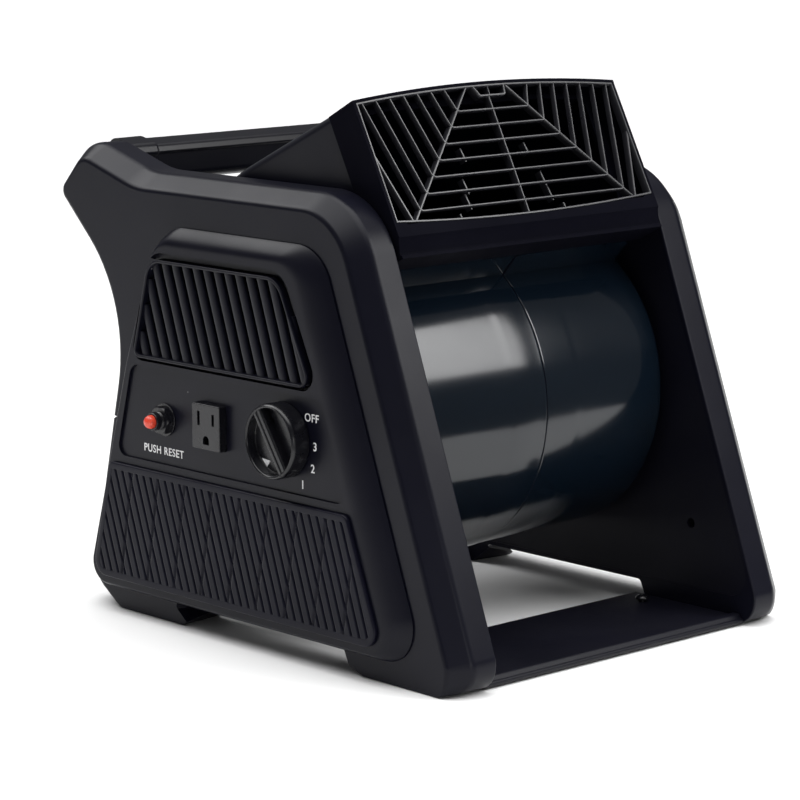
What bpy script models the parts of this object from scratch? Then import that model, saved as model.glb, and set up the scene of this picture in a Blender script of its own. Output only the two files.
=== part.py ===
"""Pivoting utility blower fan, for Blender 4.5.

Two deep side housings joined by a carry handle and base plates hold a blower head that tilts about a
horizontal axis. Sizes are in millimetres and become metres where each mesh is made. X runs across the
machine, -Y is the front, +Z is up, and the left side (-X) carries the controls. Everything is drawn about
the middle plane X = 0 and hangs on one empty, which puts the origin under the middle of the whole box.
"""

import math

import bmesh
import bpy
from mathutils import Matrix, Vector

MM = 0.001
GAP = 0.3
LEFT, RIGHT = -1, 1
SIDE_NAMES = {LEFT: "left", RIGHT: "right"}

# Side housings
HALF_WIDTH = 131.0
HOUSING_DEPTH = 28.5
RIM = HALF_WIDTH - HOUSING_DEPTH
WALL = 3.0
CHAMFER_DEPTH = 12.0
CHAMFER_INSET = 9.0
FRONT_LEAN = 0.368
REAR_LEAN = 0.235
FRONT_FOOT_Y = -181.2
REAR_FOOT_Y = 153.5
HOUSING_TOP = 259.0
REAR_TIP = (177.0, 243.0)
SOLE = 0.6
ARCH_TOP = 13.5
FOOT_TOP = 14.0
CAVITY_BOTTOM = 13.0

# Side covers
COVER_FACE = HALF_WIDTH + 8.0
COVER_WALL = 2.7
COVER_TOP = 231.0
COVER_FRONT_Y = -70.0
PANEL_DEPTH = 1.5
PANEL_FACE = COVER_FACE - PANEL_DEPTH
VENT_PITCH = 9.4
VENT_SLOTS = 15
VENT_SLOT_WIDTH = 4.4
SLAT_LEAN = math.radians(18.5)
PAD_FACE = COVER_FACE + 2.4

# Controls, as (y, z) on the left cover
KNOB = (-45.0, 124.0)
KNOB_RADIUS = 21.0
KNOB_HEIGHT = 11.5
RECEPTACLE = (17.5, 122.8)
BREAKER = (60.0, 121.0)
BUTTON_RADIUS = 3.9

# Blower head
PIVOT = (-17.0, 131.0)
SCROLL_RADIUS = 92.0
SCROLL_GROWTH = 27.0
SCROLL_HALF_WIDTH = 98.0
SCROLL_WALL = 2.5
TONGUE_ANGLE = math.radians(128.0)
DUCT_ANGLE = math.radians(65.0)
FACE_TILT = math.radians(27.6)
FACE_CENTRE = (-78.0, 274.5)
FACE_HALF_WIDTH = 101.0
FACE_HALF_HEIGHT = 36.6
FACE_CROWN = 5.4
FACE_SAG = 3.6
BEZEL_DEPTH = 22.0
CHIN_DROP = 18.0
CHIN_SLOPE = 4.8
INLET_RADIUS = 55.0
TRUNNION_RADIUS = 58.5
WHEEL_RADIUS = 73.5
WHEEL_HALF_WIDTH = 75.0
BLADES = 26
SHAFT_RADIUS = 4.0
MOTOR_RADIUS = 42.0

# The knob and button stand out on the left only, so the box's middle is this far from the middle plane.
BUTTON_TIP = PANEL_FACE + 14.4
MIDDLE_X = (BUTTON_TIP - PAD_FACE) / 2


# Scene


def clear_scene():
    for obj in list(bpy.data.objects):
        bpy.data.objects.remove(obj, do_unlink=True)


def new_collection(name):
    collection = bpy.data.collections.new(name)
    bpy.context.scene.collection.children.link(collection)
    return collection


def new_empty(name, parent, location):
    empty = bpy.data.objects.new(name, None)
    PARTS.objects.link(empty)
    empty.parent = parent
    empty.location = Vector(location) * MM
    empty.empty_display_size = 0.03
    return empty


def new_material(name, colour, roughness, metallic=0.0):
    material = bpy.data.materials.new(name)
    material.use_nodes = True
    shader = material.node_tree.nodes["Principled BSDF"]
    shader.inputs["Base Color"].default_value = (*colour, 1.0)
    shader.inputs["Roughness"].default_value = roughness
    shader.inputs["Metallic"].default_value = metallic
    material.diffuse_color = (*colour, 1.0)
    return material


# Outlines, as lists of 2-D vectors that run anticlockwise


def rounded(corners, steps=4):
    """The outline through (y, z, radius) corners, with an arc of that radius at each."""
    points = []
    for i, (y, z, radius) in enumerate(corners):
        corner = Vector((y, z))
        back = (Vector(corners[i - 1][:2]) - corner).normalized()
        ahead = (Vector(corners[(i + 1) % len(corners)][:2]) - corner).normalized()
        if radius == 0:
            points.append(corner)
            continue
        half = back.angle(ahead) / 2
        centre = corner + (back + ahead).normalized() * (radius / math.sin(half))
        spoke = corner + back * (radius / math.tan(half)) - centre
        turn = math.copysign(math.pi - 2 * half, ahead.cross(back))
        points += [centre + Matrix.Rotation(turn * k / steps, 2) @ spoke for k in range(steps + 1)]
    return points


def arc(centre, radius, start, end, steps):
    angles = [start + (end - start) * k / steps for k in range(steps + 1)]
    return [Vector(centre) + radius * Vector((math.cos(a), math.sin(a))) for a in angles]


def grown(outline, distance):
    """The outline with every edge moved outwards by the distance."""
    points = []
    for i, point in enumerate(outline):
        before = (point - outline[i - 1]).normalized()
        after = (outline[(i + 1) % len(outline)] - point).normalized()
        first, second = Vector((before.y, -before.x)), Vector((after.y, -after.x))
        points.append(point + (first + second) * (distance / (1 + first.dot(second))))
    return points


# Solids


def finish_mesh(name, bm, matrix=None):
    if matrix is not None:
        bmesh.ops.transform(bm, matrix=matrix, verts=bm.verts)
    bmesh.ops.scale(bm, vec=(MM, MM, MM), verts=bm.verts)
    bmesh.ops.recalc_face_normals(bm, faces=bm.faces)
    mesh = bpy.data.meshes.new(name)
    bm.to_mesh(mesh)
    bm.free()
    return bpy.data.objects.new(name, mesh)


def loft(name, sections, matrix=None):
    """A solid through (x, outline) sections that all have the same number of points."""
    bm = bmesh.new()
    rings = [[bm.verts.new((x, p.x, p.y)) for p in outline] for x, outline in sorted(sections, key=lambda s: s[0])]
    for low, high in zip(rings, rings[1:]):
        for i in range(len(low)):
            bm.faces.new((low[i - 1], low[i], high[i], high[i - 1]))
    bm.faces.new(rings[0])
    bm.faces.new(rings[-1])
    return finish_mesh(name, bm, matrix)


def slab(name, outline, x_from, x_to, matrix=None):
    return loft(name, [(x_from, outline), (x_to, outline)], matrix)


def block(name, x_range, y_range, z_range, matrix=None):
    bm = bmesh.new()
    bmesh.ops.create_cube(bm, size=1.0)
    ranges = (x_range, y_range, z_range)
    size = [abs(high - low) for low, high in ranges]
    middle = [(low + high) / 2 for low, high in ranges]
    bmesh.ops.scale(bm, vec=size, verts=bm.verts)
    bmesh.ops.translate(bm, vec=middle, verts=bm.verts)
    return finish_mesh(name, bm, matrix)


def rod(name, radius, x_from, x_to, centre, segments=24):
    """A cylinder along X."""
    bm = bmesh.new()
    bmesh.ops.create_cone(
        bm, cap_ends=True, segments=segments, radius1=radius, radius2=radius, depth=abs(x_to - x_from)
    )
    turn = Matrix.Translation(((x_from + x_to) / 2, *centre)) @ Matrix.Rotation(math.pi / 2, 4, "Y")
    return finish_mesh(name, bm, turn)


def turned(name, profile, matrix, segments=40):
    """A turned solid. Its (radius, height) profile runs down the outer side, and the matrix places its axis."""
    mesh = bpy.data.meshes.new(name)
    edges = [(i, i + 1) for i in range(len(profile) - 1)]
    if all(r > 0 for r, _ in profile):
        edges.append((len(profile) - 1, 0))
    mesh.from_pydata([(r * MM, 0.0, h * MM) for r, h in profile], edges, [])
    obj = bpy.data.objects.new(name, mesh)
    obj.matrix_world = Matrix.Translation(matrix.translation * MM) @ matrix.to_3x3().to_4x4()
    screw = obj.modifiers.new("turn", "SCREW")
    screw.steps = screw.render_steps = segments
    screw.use_merge_vertices = True
    screw.merge_threshold = 0.00001
    screw.use_smooth_shade = True
    return obj


def along_x(side, centre):
    """Puts a turned profile's axis on X, with its height measured outwards on that side."""
    return Matrix.Translation((0, *centre)) @ Matrix.Rotation(side * math.pi / 2, 4, "Y")


def add_part(obj, material, joint=None):
    """Links a finished solid as a node that hangs on its joint's empty."""
    joint = joint or FRAME
    PARTS.objects.link(obj)
    obj.data.materials.append(material)
    obj.parent = joint
    obj.location = obj.location - JOINT_AT[joint.name] * MM
    for face in obj.data.polygons:
        face.use_smooth = True
    if obj.data.polygons:
        obj.data.set_sharp_from_angle(angle=math.radians(30))
    return obj


def combine(obj, tool, operation="DIFFERENCE"):
    """Cuts or joins a hidden tool to a solid."""
    CUTTERS.objects.link(tool)
    tool.parent = FRAME
    tool.hide_render = True
    tool.display_type = "WIRE"
    boolean = obj.modifiers.new(tool.name, "BOOLEAN")
    boolean.operation = operation
    boolean.solver = "EXACT"
    boolean.object = tool
    return obj


# The side frame


def housing_outline(bottom):
    """The side housing's profile: a front that leans back, a level top, a raised rear tip and a hollow back."""
    corners = [
        (FRONT_FOOT_Y + FRONT_LEAN * bottom, bottom, 15),
        (REAR_FOOT_Y - REAR_LEAN * bottom - 24.5, bottom, 10),
        (REAR_FOOT_Y - REAR_LEAN * (bottom + 14), bottom + 14, 12),
        (111.0, 180.0, 79),
        (*REAR_TIP, 14),
        (146.0, 275.0, 22),
        (92.0, HOUSING_TOP, 60),
        (FRONT_FOOT_Y + FRONT_LEAN * HOUSING_TOP, HOUSING_TOP, 48),
    ]
    return rounded(corners, 5)


def cover_base_outline():
    front = COVER_FRONT_Y - FRONT_LEAN * (COVER_TOP - 13)
    return rounded([(front, 13, 21), (137, 13, 14), (97, 150, 80), (63, COVER_TOP, 22), (COVER_FRONT_Y, COVER_TOP, 28)])


def cover_face_outline():
    front = COVER_FRONT_Y + 21.3
    low = front - FRONT_LEAN * (COVER_TOP - 17)
    high = front - FRONT_LEAN * (COVER_TOP - 220.5)
    return rounded([(low, 17, 12), (133, 17, 11), (93, 150, 80), (66, 220.5, 16), (high, 220.5, 20)])


def vent_outline():
    return rounded([(-69.5, 154, 7), (88, 154, 5), (72, 212.5, 14), (-42, 212.5, 16)])


def panel_outline():
    return rounded([(-97, 95, 6), (104, 95, 6), (89, 150, 8), (-77, 150, 6)])


def pad_outline():
    return rounded([(-125, 21, 9), (127, 21, 9), (109.5, 90.5, 5), (-98.5, 90.5, 5)])


def arch_outline(rear_low, rear_high):
    """The arch under a housing. Its rear end twists from the housing's outer side to its inner side."""
    corners = [(-103, -5), (rear_low, -5), (rear_low, 0), (rear_high, ARCH_TOP), (-84.5, ARCH_TOP), (-88.5, 4.5)]
    return [Vector(p) for p in corners + [(-102, 0)]]


def side_housing(side):
    name = SIDE_NAMES[side]
    outline = housing_outline(SOLE)
    hollow = grown(housing_outline(CAVITY_BOTTOM), -WALL)
    face, shoulder = HALF_WIDTH, HALF_WIDTH - CHAMFER_DEPTH
    pairs = zip(outline, grown(outline, -CHAMFER_INSET))
    outer = [Vector((min(q.x, p.x - 13) if p.x > 0 else q.x, p.y)) if p.y < FOOT_TOP else q for p, q in pairs]
    housing = loft(
        name + "_side_housing", [(side * face, outer), (side * shoulder, outline), (side * RIM, outline)]
    )
    cavity = loft(
        name + "_cavity",
        [
            (side * (face - WALL), grown(hollow, 1 - CHAMFER_INSET)),
            (side * (shoulder - 2), hollow),
            (side * (RIM - 5), hollow),
        ],
    )
    outer_arch, inner_arch = arch_outline(54.7, 72.6), arch_outline(60.6, 41.7)
    window = grown(cover_face_outline(), -9.3)
    combine(housing, slab(name + "_window", window, side * (face - 4.2), side * (face + 3)))
    combine(housing, cavity)
    combine(housing, loft(name + "_arch", [(side * 98, inner_arch), (side * 140, outer_arch)]))
    for foot, (y_from, y_to) in FOOT_PADS.items():
        pocket = block(
            f"{name}_{foot}_pocket",
            (side * 109.7, side * 125.3),
            (y_from - GAP, y_to + GAP),
            (-5, FOOT_PAD_HEIGHT + GAP),
        )
        combine(housing, pocket)
    if side == LEFT:
        combine(housing, block("cord_notch", (-119.5, -140), (113.5, 140), (110.5, 117.5)))
        combine(housing, cord_bush_bore())
    return add_part(housing, CHARCOAL)


def inner_wall(side):
    name = SIDE_NAMES[side]
    outline = grown(housing_outline(CAVITY_BOTTOM), -WALL - 0.4)
    wall = slab(name + "_inner_wall", outline, side * (RIM + 0.5), side * (RIM + 3))
    combine(wall, rod(name + "_pivot_hole", TRUNNION_RADIUS + 0.6, side * 95, side * 112, PIVOT, 40))
    combine(wall, rod(name + "_peg_hole", 3, side * 95, side * 112, (-124.5, 53.7), 12))
    return add_part(wall, CHARCOAL)


def side_cover(side):
    name = SIDE_NAMES[side]
    base, face = cover_base_outline(), cover_face_outline()
    low = HALF_WIDTH + GAP
    cover = loft(
        name + "_side_cover", [(side * low, base), (side * (low + 1), base), (side * COVER_FACE, face)]
    )
    combine(cover, slab(name + "_cover_hollow", grown(face, -5), side * 120, side * (COVER_FACE - COVER_WALL)))
    combine(cover, slab(name + "_vent_opening", vent_outline(), side * 130, side * 145))
    combine(cover, slab(name + "_panel_recess", panel_outline(), side * PANEL_FACE, side * 145))
    if side == LEFT:
        y, z = RECEPTACLE
        combine(cover, block("receptacle_hole", (-130, -145), (y - 11.6, y + 11.6), (z - 12.4, z + 12.4)))
        combine(cover, rod("breaker_hole", 5.6, -130, -145, BREAKER))
        combine(cover, rod("spindle_hole", 4.5, -130, -145, KNOB))
    return add_part(cover, CHARCOAL)


def slanted_slots(name, side, count, pitch, width, middle):
    """Upright slots that lean with the front edge, as one tool."""
    bm = bmesh.new()
    for i in range(count):
        offset = (i - (count - 1) / 2) * pitch
        slot = bmesh.ops.create_cube(bm, size=1.0)["verts"]
        lean = Matrix.Shear("XZ", 3, (0, 0)).to_4x4()
        lean[1][2] = math.tan(SLAT_LEAN)
        place = Matrix.Translation((side * 136, middle[0] + offset, middle[1])) @ lean
        bmesh.ops.transform(bm, matrix=place @ Matrix.Diagonal((20, width, 49, 1)), verts=slot)
    return finish_mesh(name, bm)


def vent_grille(side):
    name = SIDE_NAMES[side]
    grille = slab(name + "_vent_grille", grown(vent_outline(), -GAP), side * (COVER_FACE - 6.5), side * (COVER_FACE - 2))
    slots = slanted_slots(name + "_vent_slots", side, VENT_SLOTS, VENT_PITCH, VENT_SLOT_WIDTH, (8, 183.3))
    keep = grown(vent_outline(), -4)
    combine(slots, slab(name + "_slot_limits", keep, side * 120, side * 150), "INTERSECT")
    combine(grille, slots)
    return add_part(grille, CHARCOAL)


def lower_pad(side):
    name = SIDE_NAMES[side]
    outline = pad_outline()
    low = COVER_FACE + GAP
    sections = [(low, outline), (PAD_FACE - 1, outline), (PAD_FACE, grown(outline, -1))]
    return add_part(loft(name + "_lower_pad", [(side * u, ring) for u, ring in sections]), SATIN_BLACK)


def base_plate(side, end, y_from, y_to):
    """Half of a base plate, from the middle joint to the side housing, with a rounded outer edge."""
    name = f"{end}_base_{SIDE_NAMES[side]}"
    low, high = 0.8, 6.5
    near, far = (4, 1.5) if end == "front" else (1.5, 4)
    outline = rounded([(y_from, low, 1.5), (y_to, low, 1.5), (y_to, high, far), (y_from, high, near)], 3)
    plate = slab(name, outline, side * GAP / 2, side * (RIM - GAP))
    combine(plate, upright_hole(name + "_screw_hole", side * BASE_SCREW_X, BASE_SCREW_Y[end]))
    return add_part(plate, CHARCOAL)


def upright_hole(name, x, y):
    bm = bmesh.new()
    bmesh.ops.create_cone(bm, cap_ends=True, segments=16, radius1=2.3, radius2=2.3, depth=10)
    return finish_mesh(name, bm, Matrix.Translation((x, y, 7.3)))


def base_screw(side, end):
    profile = [(0, 9.2), (2.4, 9.0), (4, 7.8), (4, 6.8), (2, 6.8), (2, 2.8), (0, 2.8)]
    place = Matrix.Translation((side * BASE_SCREW_X, BASE_SCREW_Y[end], 0))
    return add_part(turned(f"{end}_base_screw_{SIDE_NAMES[side]}", profile, place, 12), STEEL)


def carry_handle():
    grip = rounded([(133, 247, 6), (161, 248, 9), (155, 272.5, 8), (129, 267.5, 4)], 3)
    collar = grown(grip, 1.5)
    end, step = RIM - GAP, RIM - 19
    sections = [(-end, collar), (-step - 1, collar), (-step, grip), (step, grip), (step + 1, collar), (end, collar)]
    return add_part(loft("carry_handle", sections), CHARCOAL)


def rubber_foot(side, end):
    y_from, y_to = FOOT_PADS[end]
    outline = rounded([(y_from, 0, 1), (y_to, 0, 1), (y_to, FOOT_PAD_HEIGHT, 0), (y_from, FOOT_PAD_HEIGHT, 0)], 2)
    return add_part(slab(f"{end}_foot_{SIDE_NAMES[side]}", outline, side * 110, side * 125), RUBBER)


def cord_bush_bore():
    bm = bmesh.new()
    bmesh.ops.create_cone(bm, cap_ends=True, segments=16, radius1=5.8, radius2=5.8, depth=40)
    return finish_mesh("cord_bush_bore", bm, Matrix.Translation(CORD_BUSH) @ Matrix.Rotation(math.pi / 2, 4, "X"))


def cord_bush():
    """A flanged bush, hollow for the cord, in the rear rim of the left housing."""
    profile = [(8, 10), (8, 6.6), (5.5, 6.3), (5.5, -9), (3.6, -9), (3.6, 10)]
    place = Matrix.Translation(CORD_BUSH) @ Matrix.Rotation(-math.pi / 2, 4, "X")
    return add_part(turned("cord_bush", profile, place, 16), RUBBER)


# Controls


def receptacle():
    y, z = RECEPTACLE
    shell = block("power_receptacle", (-128, -142.5), (y - 11.3, y + 11.3), (z - 12.1, z + 12.1))
    rim = block("receptacle_rim", (-(PANEL_FACE + GAP), -142.5), (y - 12.4, y + 12.4), (z - 13.1, z + 13.1))
    combine(shell, rim, "UNION")
    for name, offset in (("hot", -6.35), ("neutral", 6.35)):
        slot = block(f"{name}_slot", (-136, -150), (y + offset - 1, y + offset + 1), (z + 1, z + 8))
        combine(shell, slot)
    combine(shell, rod("ground_slot", 2.6, -136, -150, (y, z - 7.2), 12))
    return add_part(shell, GLOSS_BLACK)


def breaker():
    """The circuit breaker: a body behind the panel and a threaded neck with the button's bore."""
    body = block("circuit_breaker", (-112, -134), (52, 68), (113, 129))
    combine(body, rod("breaker_neck", 5.2, -133, -147.5, BREAKER), "UNION")
    combine(body, rod("button_bore", BUTTON_RADIUS + 0.4, -138, -155, BREAKER))
    return add_part(body, GLOSS_BLACK)


def breaker_nut():
    nut = rod("breaker_nut", 8.5, -PANEL_FACE - GAP, -PANEL_FACE - 4, BREAKER, 6)
    combine(nut, rod("nut_bore", 5.5, -135, -145, BREAKER))
    return add_part(nut, GLOSS_BLACK)


def reset_button():
    profile = [(0, 10), (2.2, 9.5), (3.5, 8.2), (BUTTON_RADIUS, 6.4), (BUTTON_RADIUS, -1), (0, -1)]
    place = Matrix.Translation((10 - BUTTON_TIP, *BREAKER)) @ Matrix.Rotation(-math.pi / 2, 4, "Y")
    return add_part(turned("reset_button", profile, place, 16), RED, BUTTON_JOINT)


def rotary_switch():
    y, z = KNOB
    return add_part(block("rotary_switch", (-112, -127.5), (y - 14, y + 14), (z - 14, z + 14)), GLOSS_BLACK)


def switch_spindle():
    return add_part(rod("switch_spindle", 3, -128, -143, KNOB, 16), STEEL, KNOB_JOINT)


def speed_knob():
    """A round knob with a sunk face, crossed by a raised grip bar that leans with the pointer."""
    low = PANEL_FACE + 0.5
    r = KNOB_RADIUS
    profile = [(0, KNOB_HEIGHT - 5.5), (r - 2.6, KNOB_HEIGHT - 5.5), (r - 2.2, KNOB_HEIGHT), (r - 1, KNOB_HEIGHT)]
    profile += [(r, KNOB_HEIGHT - 1.5), (r, 0), (0, 0)]
    place = Matrix.Translation((-low, *KNOB)) @ Matrix.Rotation(-math.pi / 2, 4, "Y")
    knob = turned("speed_knob", profile, place, 40)
    lean = Matrix.Translation((0, *KNOB)) @ Matrix.Rotation(KNOB_BAR_TURN, 4, "X")
    bar = block("grip_bar", (-low - 3, -low - KNOB_HEIGHT + 0.4), (-3.2, 3.2), (-r + 2, r - 2), lean)
    combine(knob, bar, "UNION")
    combine(knob, rod("spindle_bore", 3.3, -130, -144, KNOB, 16))
    return add_part(knob, GLOSS_BLACK, KNOB_JOINT)


def run_capacitor():
    body = rod("run_capacitor", 12, 108, 126, (40, 60), 24)
    return add_part(body, GLOSS_BLACK)


# Blower head


def scroll_outline(mouth):
    """A drum that opens into a duct: two arcs, the duct's top, its mouth and its floor."""
    front = arc(PIVOT, SCROLL_RADIUS, TONGUE_ANGLE, 1.5 * math.pi, 16)
    rear_centre = (PIVOT[0], PIVOT[1] + SCROLL_GROWTH)
    rear = arc(rear_centre, SCROLL_RADIUS + SCROLL_GROWTH, -0.5 * math.pi, DUCT_ANGLE, 18)
    forward = Vector((-math.sin(DUCT_ANGLE), math.cos(DUCT_ANGLE)))
    top = rear[-1] + forward * (82 + mouth)
    floor = front[0] + Vector((-0.671, 0.742)) * (15.5 + mouth)
    return front + rear[1:] + [top, floor]


def face_matrix():
    """Places the outlet's own frame: X across, Z up the face and -Y out of it."""
    return Matrix.Translation((0, *FACE_CENTRE)) @ Matrix.Rotation(-FACE_TILT, 4, "X")


def scroll_half(side):
    name = SIDE_NAMES[side]
    outline, inner = scroll_outline(6), grown(scroll_outline(24), -SCROLL_WALL)
    edge = SCROLL_HALF_WIDTH
    half = loft(
        name + "_scroll",
        [(side * edge, grown(outline, -5)), (side * (edge - 5), outline), (side * GAP / 2, outline)],
    )
    hollow = loft(
        name + "_scroll_hollow",
        [
            (side * (edge - SCROLL_WALL), grown(inner, -3)),
            (side * (edge - 3 - SCROLL_WALL), inner),
            (-side * 2, inner),
        ],
    )
    combine(half, hollow)
    ahead = block(name + "_mouth_cut", (-120, 120), (-120, BEZEL_DEPTH), (-120, 90), face_matrix())
    combine(half, ahead)
    combine(half, rod(name + "_inlet_hole", INLET_RADIUS, side * 90, side * 105, PIVOT, 40))
    return add_part(half, DRUM_BLACK, HEAD)


def face_edge(across, inset=0.0):
    """How high up the outlet's face its crowned top and its sagging floor are, at a distance across."""
    bow = 1 - (across / FACE_HALF_WIDTH) ** 2
    return FACE_HALF_HEIGHT + FACE_CROWN * bow - inset, -FACE_HALF_HEIGHT - FACE_SAG * bow + inset


def face_outline(inset=0.0, chin=0.0):
    """The outlet's front outline. With a chin, its floor is level and that much lower."""
    steps = 8
    across = [(FACE_HALF_WIDTH - inset) * (2 * k / steps - 1) for k in range(steps + 1)]
    crown = [Vector((-x, face_edge(x, inset)[0])) for x in across]
    if chin:
        return [Vector((x, -FACE_HALF_HEIGHT - chin)) for x in (across[0], across[-1])] + crown
    return [Vector((x, face_edge(x, inset)[1])) for x in across] + crown


def front_prism(name, outline, out_from, out_to):
    """A solid with this (across, up) outline, between two distances out from the outlet's face."""
    stand = Matrix(((0, 1, 0, 0), (-1, 0, 0, 0), (0, 0, 1, 0), (0, 0, 0, 1)))
    return slab(name, outline, out_from, out_to, face_matrix() @ stand)


def outlet_bezel():
    """The nozzle's front frame, with a short chin under the grille."""
    up, chin = FACE_HALF_HEIGHT + FACE_CROWN + 2, -FACE_HALF_HEIGHT - CHIN_DROP
    back = BEZEL_DEPTH - GAP
    side = [(0, up), (0, -FACE_HALF_HEIGHT - 1), (CHIN_SLOPE, chin), (back, chin), (back, up)]
    profile = [Vector(p) for p in side]
    bezel = slab("outlet_bezel", profile, -FACE_HALF_WIDTH, FACE_HALF_WIDTH, face_matrix())
    combine(bezel, front_prism("bezel_limits", face_outline(0, CHIN_DROP), -40, 10), "INTERSECT")
    combine(bezel, front_prism("bezel_opening", face_outline(1.8), -40, 10))
    return add_part(bezel, CHARCOAL, HEAD)


def grille_bar(name, start, end, width, near, far):
    """A straight bar across the outlet, from one (across, up) point to another, between two depths."""
    start, end = Vector(start), Vector(end)
    run = end - start
    place = Matrix.Translation(((start.x + end.x) / 2, 0, (start.y + end.y) / 2))
    place = place @ Matrix.Rotation(-math.atan2(run.y, run.x), 4, "Y")
    reach = run.length / 2 + width / 2
    return block(name, (-reach, reach), (near, far), (-width / 2, width / 2), face_matrix() @ place)


def outlet_grille():
    """A thin border, a centre rib, two diagonals, level bars between them and side bars that fan upwards."""
    rim, hole = face_outline(2.1), face_outline(3.9)
    grille = front_prism("outlet_grille", rim, -6, -GAP)
    combine(grille, front_prism("grille_hole", hole, -40, 10))
    border = 3.3
    top, low = face_edge(0, border)
    combine(grille, grille_bar("centre_rib", (0, top), (0, low), 1.6, 0.7, 5.6), "UNION")
    for side, name in SIDE_NAMES.items():
        start, end = (side * 15, face_edge(15, border)[0]), (side * 83.2, face_edge(83.2, border)[1])
        combine(grille, grille_bar(name + "_diagonal", start, end, 1.6, 0.5, 5.3), "UNION")
        start, end = (side * 97.8, 4.2), (side * 86.4, face_edge(86.4, border)[1])
        combine(grille, grille_bar(name + "_end_bar", start, end, 1.6, 1, 4.6), "UNION")
    for i in range(GRILLE_BARS):
        level = 25.5 - 9.2 * i
        corner, head = 27.2 + 8.6 * i, 32 + 10.4 * i
        combine(grille, grille_bar(f"level_bar_{i}", (-corner, level), (corner, level), 1.5, 0.6, 5.0), "UNION")
        for side, name in SIDE_NAMES.items():
            start, end = (side * corner, level), (side * head, face_edge(head, border)[0])
            combine(grille, grille_bar(f"{name}_bar_{i}", start, end, 1.5, 0.9, 4.8), "UNION")
    return add_part(grille, CHARCOAL, HEAD)


def inlet_ring(side):
    """The bell-mouth and trunnion of one side: air goes through it, and the head turns on it."""
    profile = [(52, 108), (TRUNNION_RADIUS, 108), (TRUNNION_RADIUS, 100.3), (60, 100.3), (60, 98.3)]
    profile += [(54.6, 98.3), (54.6, 90), (52, 90)]
    return add_part(turned(SIDE_NAMES[side] + "_inlet_ring", profile, along_x(side, PIVOT)), GLOSS_BLACK, HEAD)


def pivot_retainer(side):
    low = RIM + 3 + GAP
    profile = [(65, low + 2), (65, low), (TRUNNION_RADIUS + GAP, low), (TRUNNION_RADIUS + GAP, low + 2)]
    return add_part(turned(SIDE_NAMES[side] + "_pivot_retainer", profile, along_x(side, PIVOT)), STEEL, HEAD)


def friction_washer(side):
    """A ring on the inner wall that the head's side rubs on, so the head stays where it is put."""
    low, high = SCROLL_HALF_WIDTH + GAP, RIM + 0.5 - GAP
    profile = [(67, high), (67, low), (60.6, low), (60.6, high)]
    return add_part(turned(SIDE_NAMES[side] + "_friction_washer", profile, along_x(side, PIVOT)), RUBBER)


def motor():
    bore = SHAFT_RADIUS + GAP
    profile = [(bore, 88), (16, 88), (MOTOR_RADIUS - 4, 85), (MOTOR_RADIUS, 80), (MOTOR_RADIUS, 30)]
    profile += [(MOTOR_RADIUS - 4, 25), (14, 22), (14, 14), (bore, 14)]
    return add_part(turned("motor", profile, along_x(RIGHT, PIVOT), 28), STEEL, HEAD)


def motor_bracket():
    """A ring round the motor with three arms to the right side of the drum."""
    inner = MOTOR_RADIUS + GAP
    bracket = turned("motor_bracket", [(47, 79), (47, 71), (inner, 71), (inner, 79)], along_x(RIGHT, PIVOT), 32)
    bracket = real_mesh(bracket)
    for i in range(3):
        turn = Matrix.Translation((0, *PIVOT)) @ Matrix.Rotation(math.radians(90 + 120 * i), 4, "X")
        combine(bracket, block(f"arm_{i}", (71.5, 78.5), (-5, 5), (45, 58), turn), "UNION")
        combine(bracket, block(f"arm_joint_{i}", (72, 80), (-4.6, 4.6), (50, 60.3), turn), "UNION")
        combine(bracket, block(f"arm_foot_{i}", (77, 95.2), (-4.2, 4.2), (56.5, 60.8), turn), "UNION")
    return add_part(bracket, STEEL, HEAD)


def real_mesh(obj):
    """The same solid with its modifiers applied."""
    CUTTERS.objects.link(obj)
    bpy.context.view_layer.update()
    graph = bpy.context.evaluated_depsgraph_get()
    mesh = bpy.data.meshes.new_from_object(obj.evaluated_get(graph))
    name, place = obj.name, obj.matrix_world.copy()
    bpy.data.objects.remove(obj)
    solid = bpy.data.objects.new(name, mesh)
    solid.matrix_world = place
    return solid


def motor_shaft():
    return add_part(rod("motor_shaft", SHAFT_RADIUS, -14, 92, PIVOT, 16), STEEL, ROTOR)


def blower_wheel():
    """The centre disc and hub of a double-width wheel."""
    disc = [(WHEEL_RADIUS, 1.5), (WHEEL_RADIUS, -1.5), (13, -1.5), (13, -12), (4.3, -12), (4.3, 10), (13, 10), (13, 1.5)]
    return add_part(turned("blower_wheel", disc, along_x(RIGHT, PIVOT)), GLOSS_BLACK, ROTOR)


def blade_cage(side):
    """Half of the wheel's blades, between a ring against the disc and a ring at the inlet."""
    name = SIDE_NAMES[side] + "_blade_cage"
    low, inner = 1.5 + GAP, WHEEL_RADIUS - 9
    root = [(WHEEL_RADIUS, low + 2.5), (WHEEL_RADIUS, low), (inner, low), (inner, low + 2.5)]
    cage = real_mesh(turned(name, root, along_x(side, PIVOT)))
    combine(cage, blade_set(side, low + 1), "UNION")
    low, high = WHEEL_HALF_WIDTH - 4, WHEEL_HALF_WIDTH
    ring = [(WHEEL_RADIUS, high), (WHEEL_RADIUS, low), (inner, low), (inner, high)]
    combine(cage, real_mesh(turned(name + "_ring", ring, along_x(side, PIVOT))), "UNION")
    return add_part(cage, GLOSS_BLACK, ROTOR)


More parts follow.
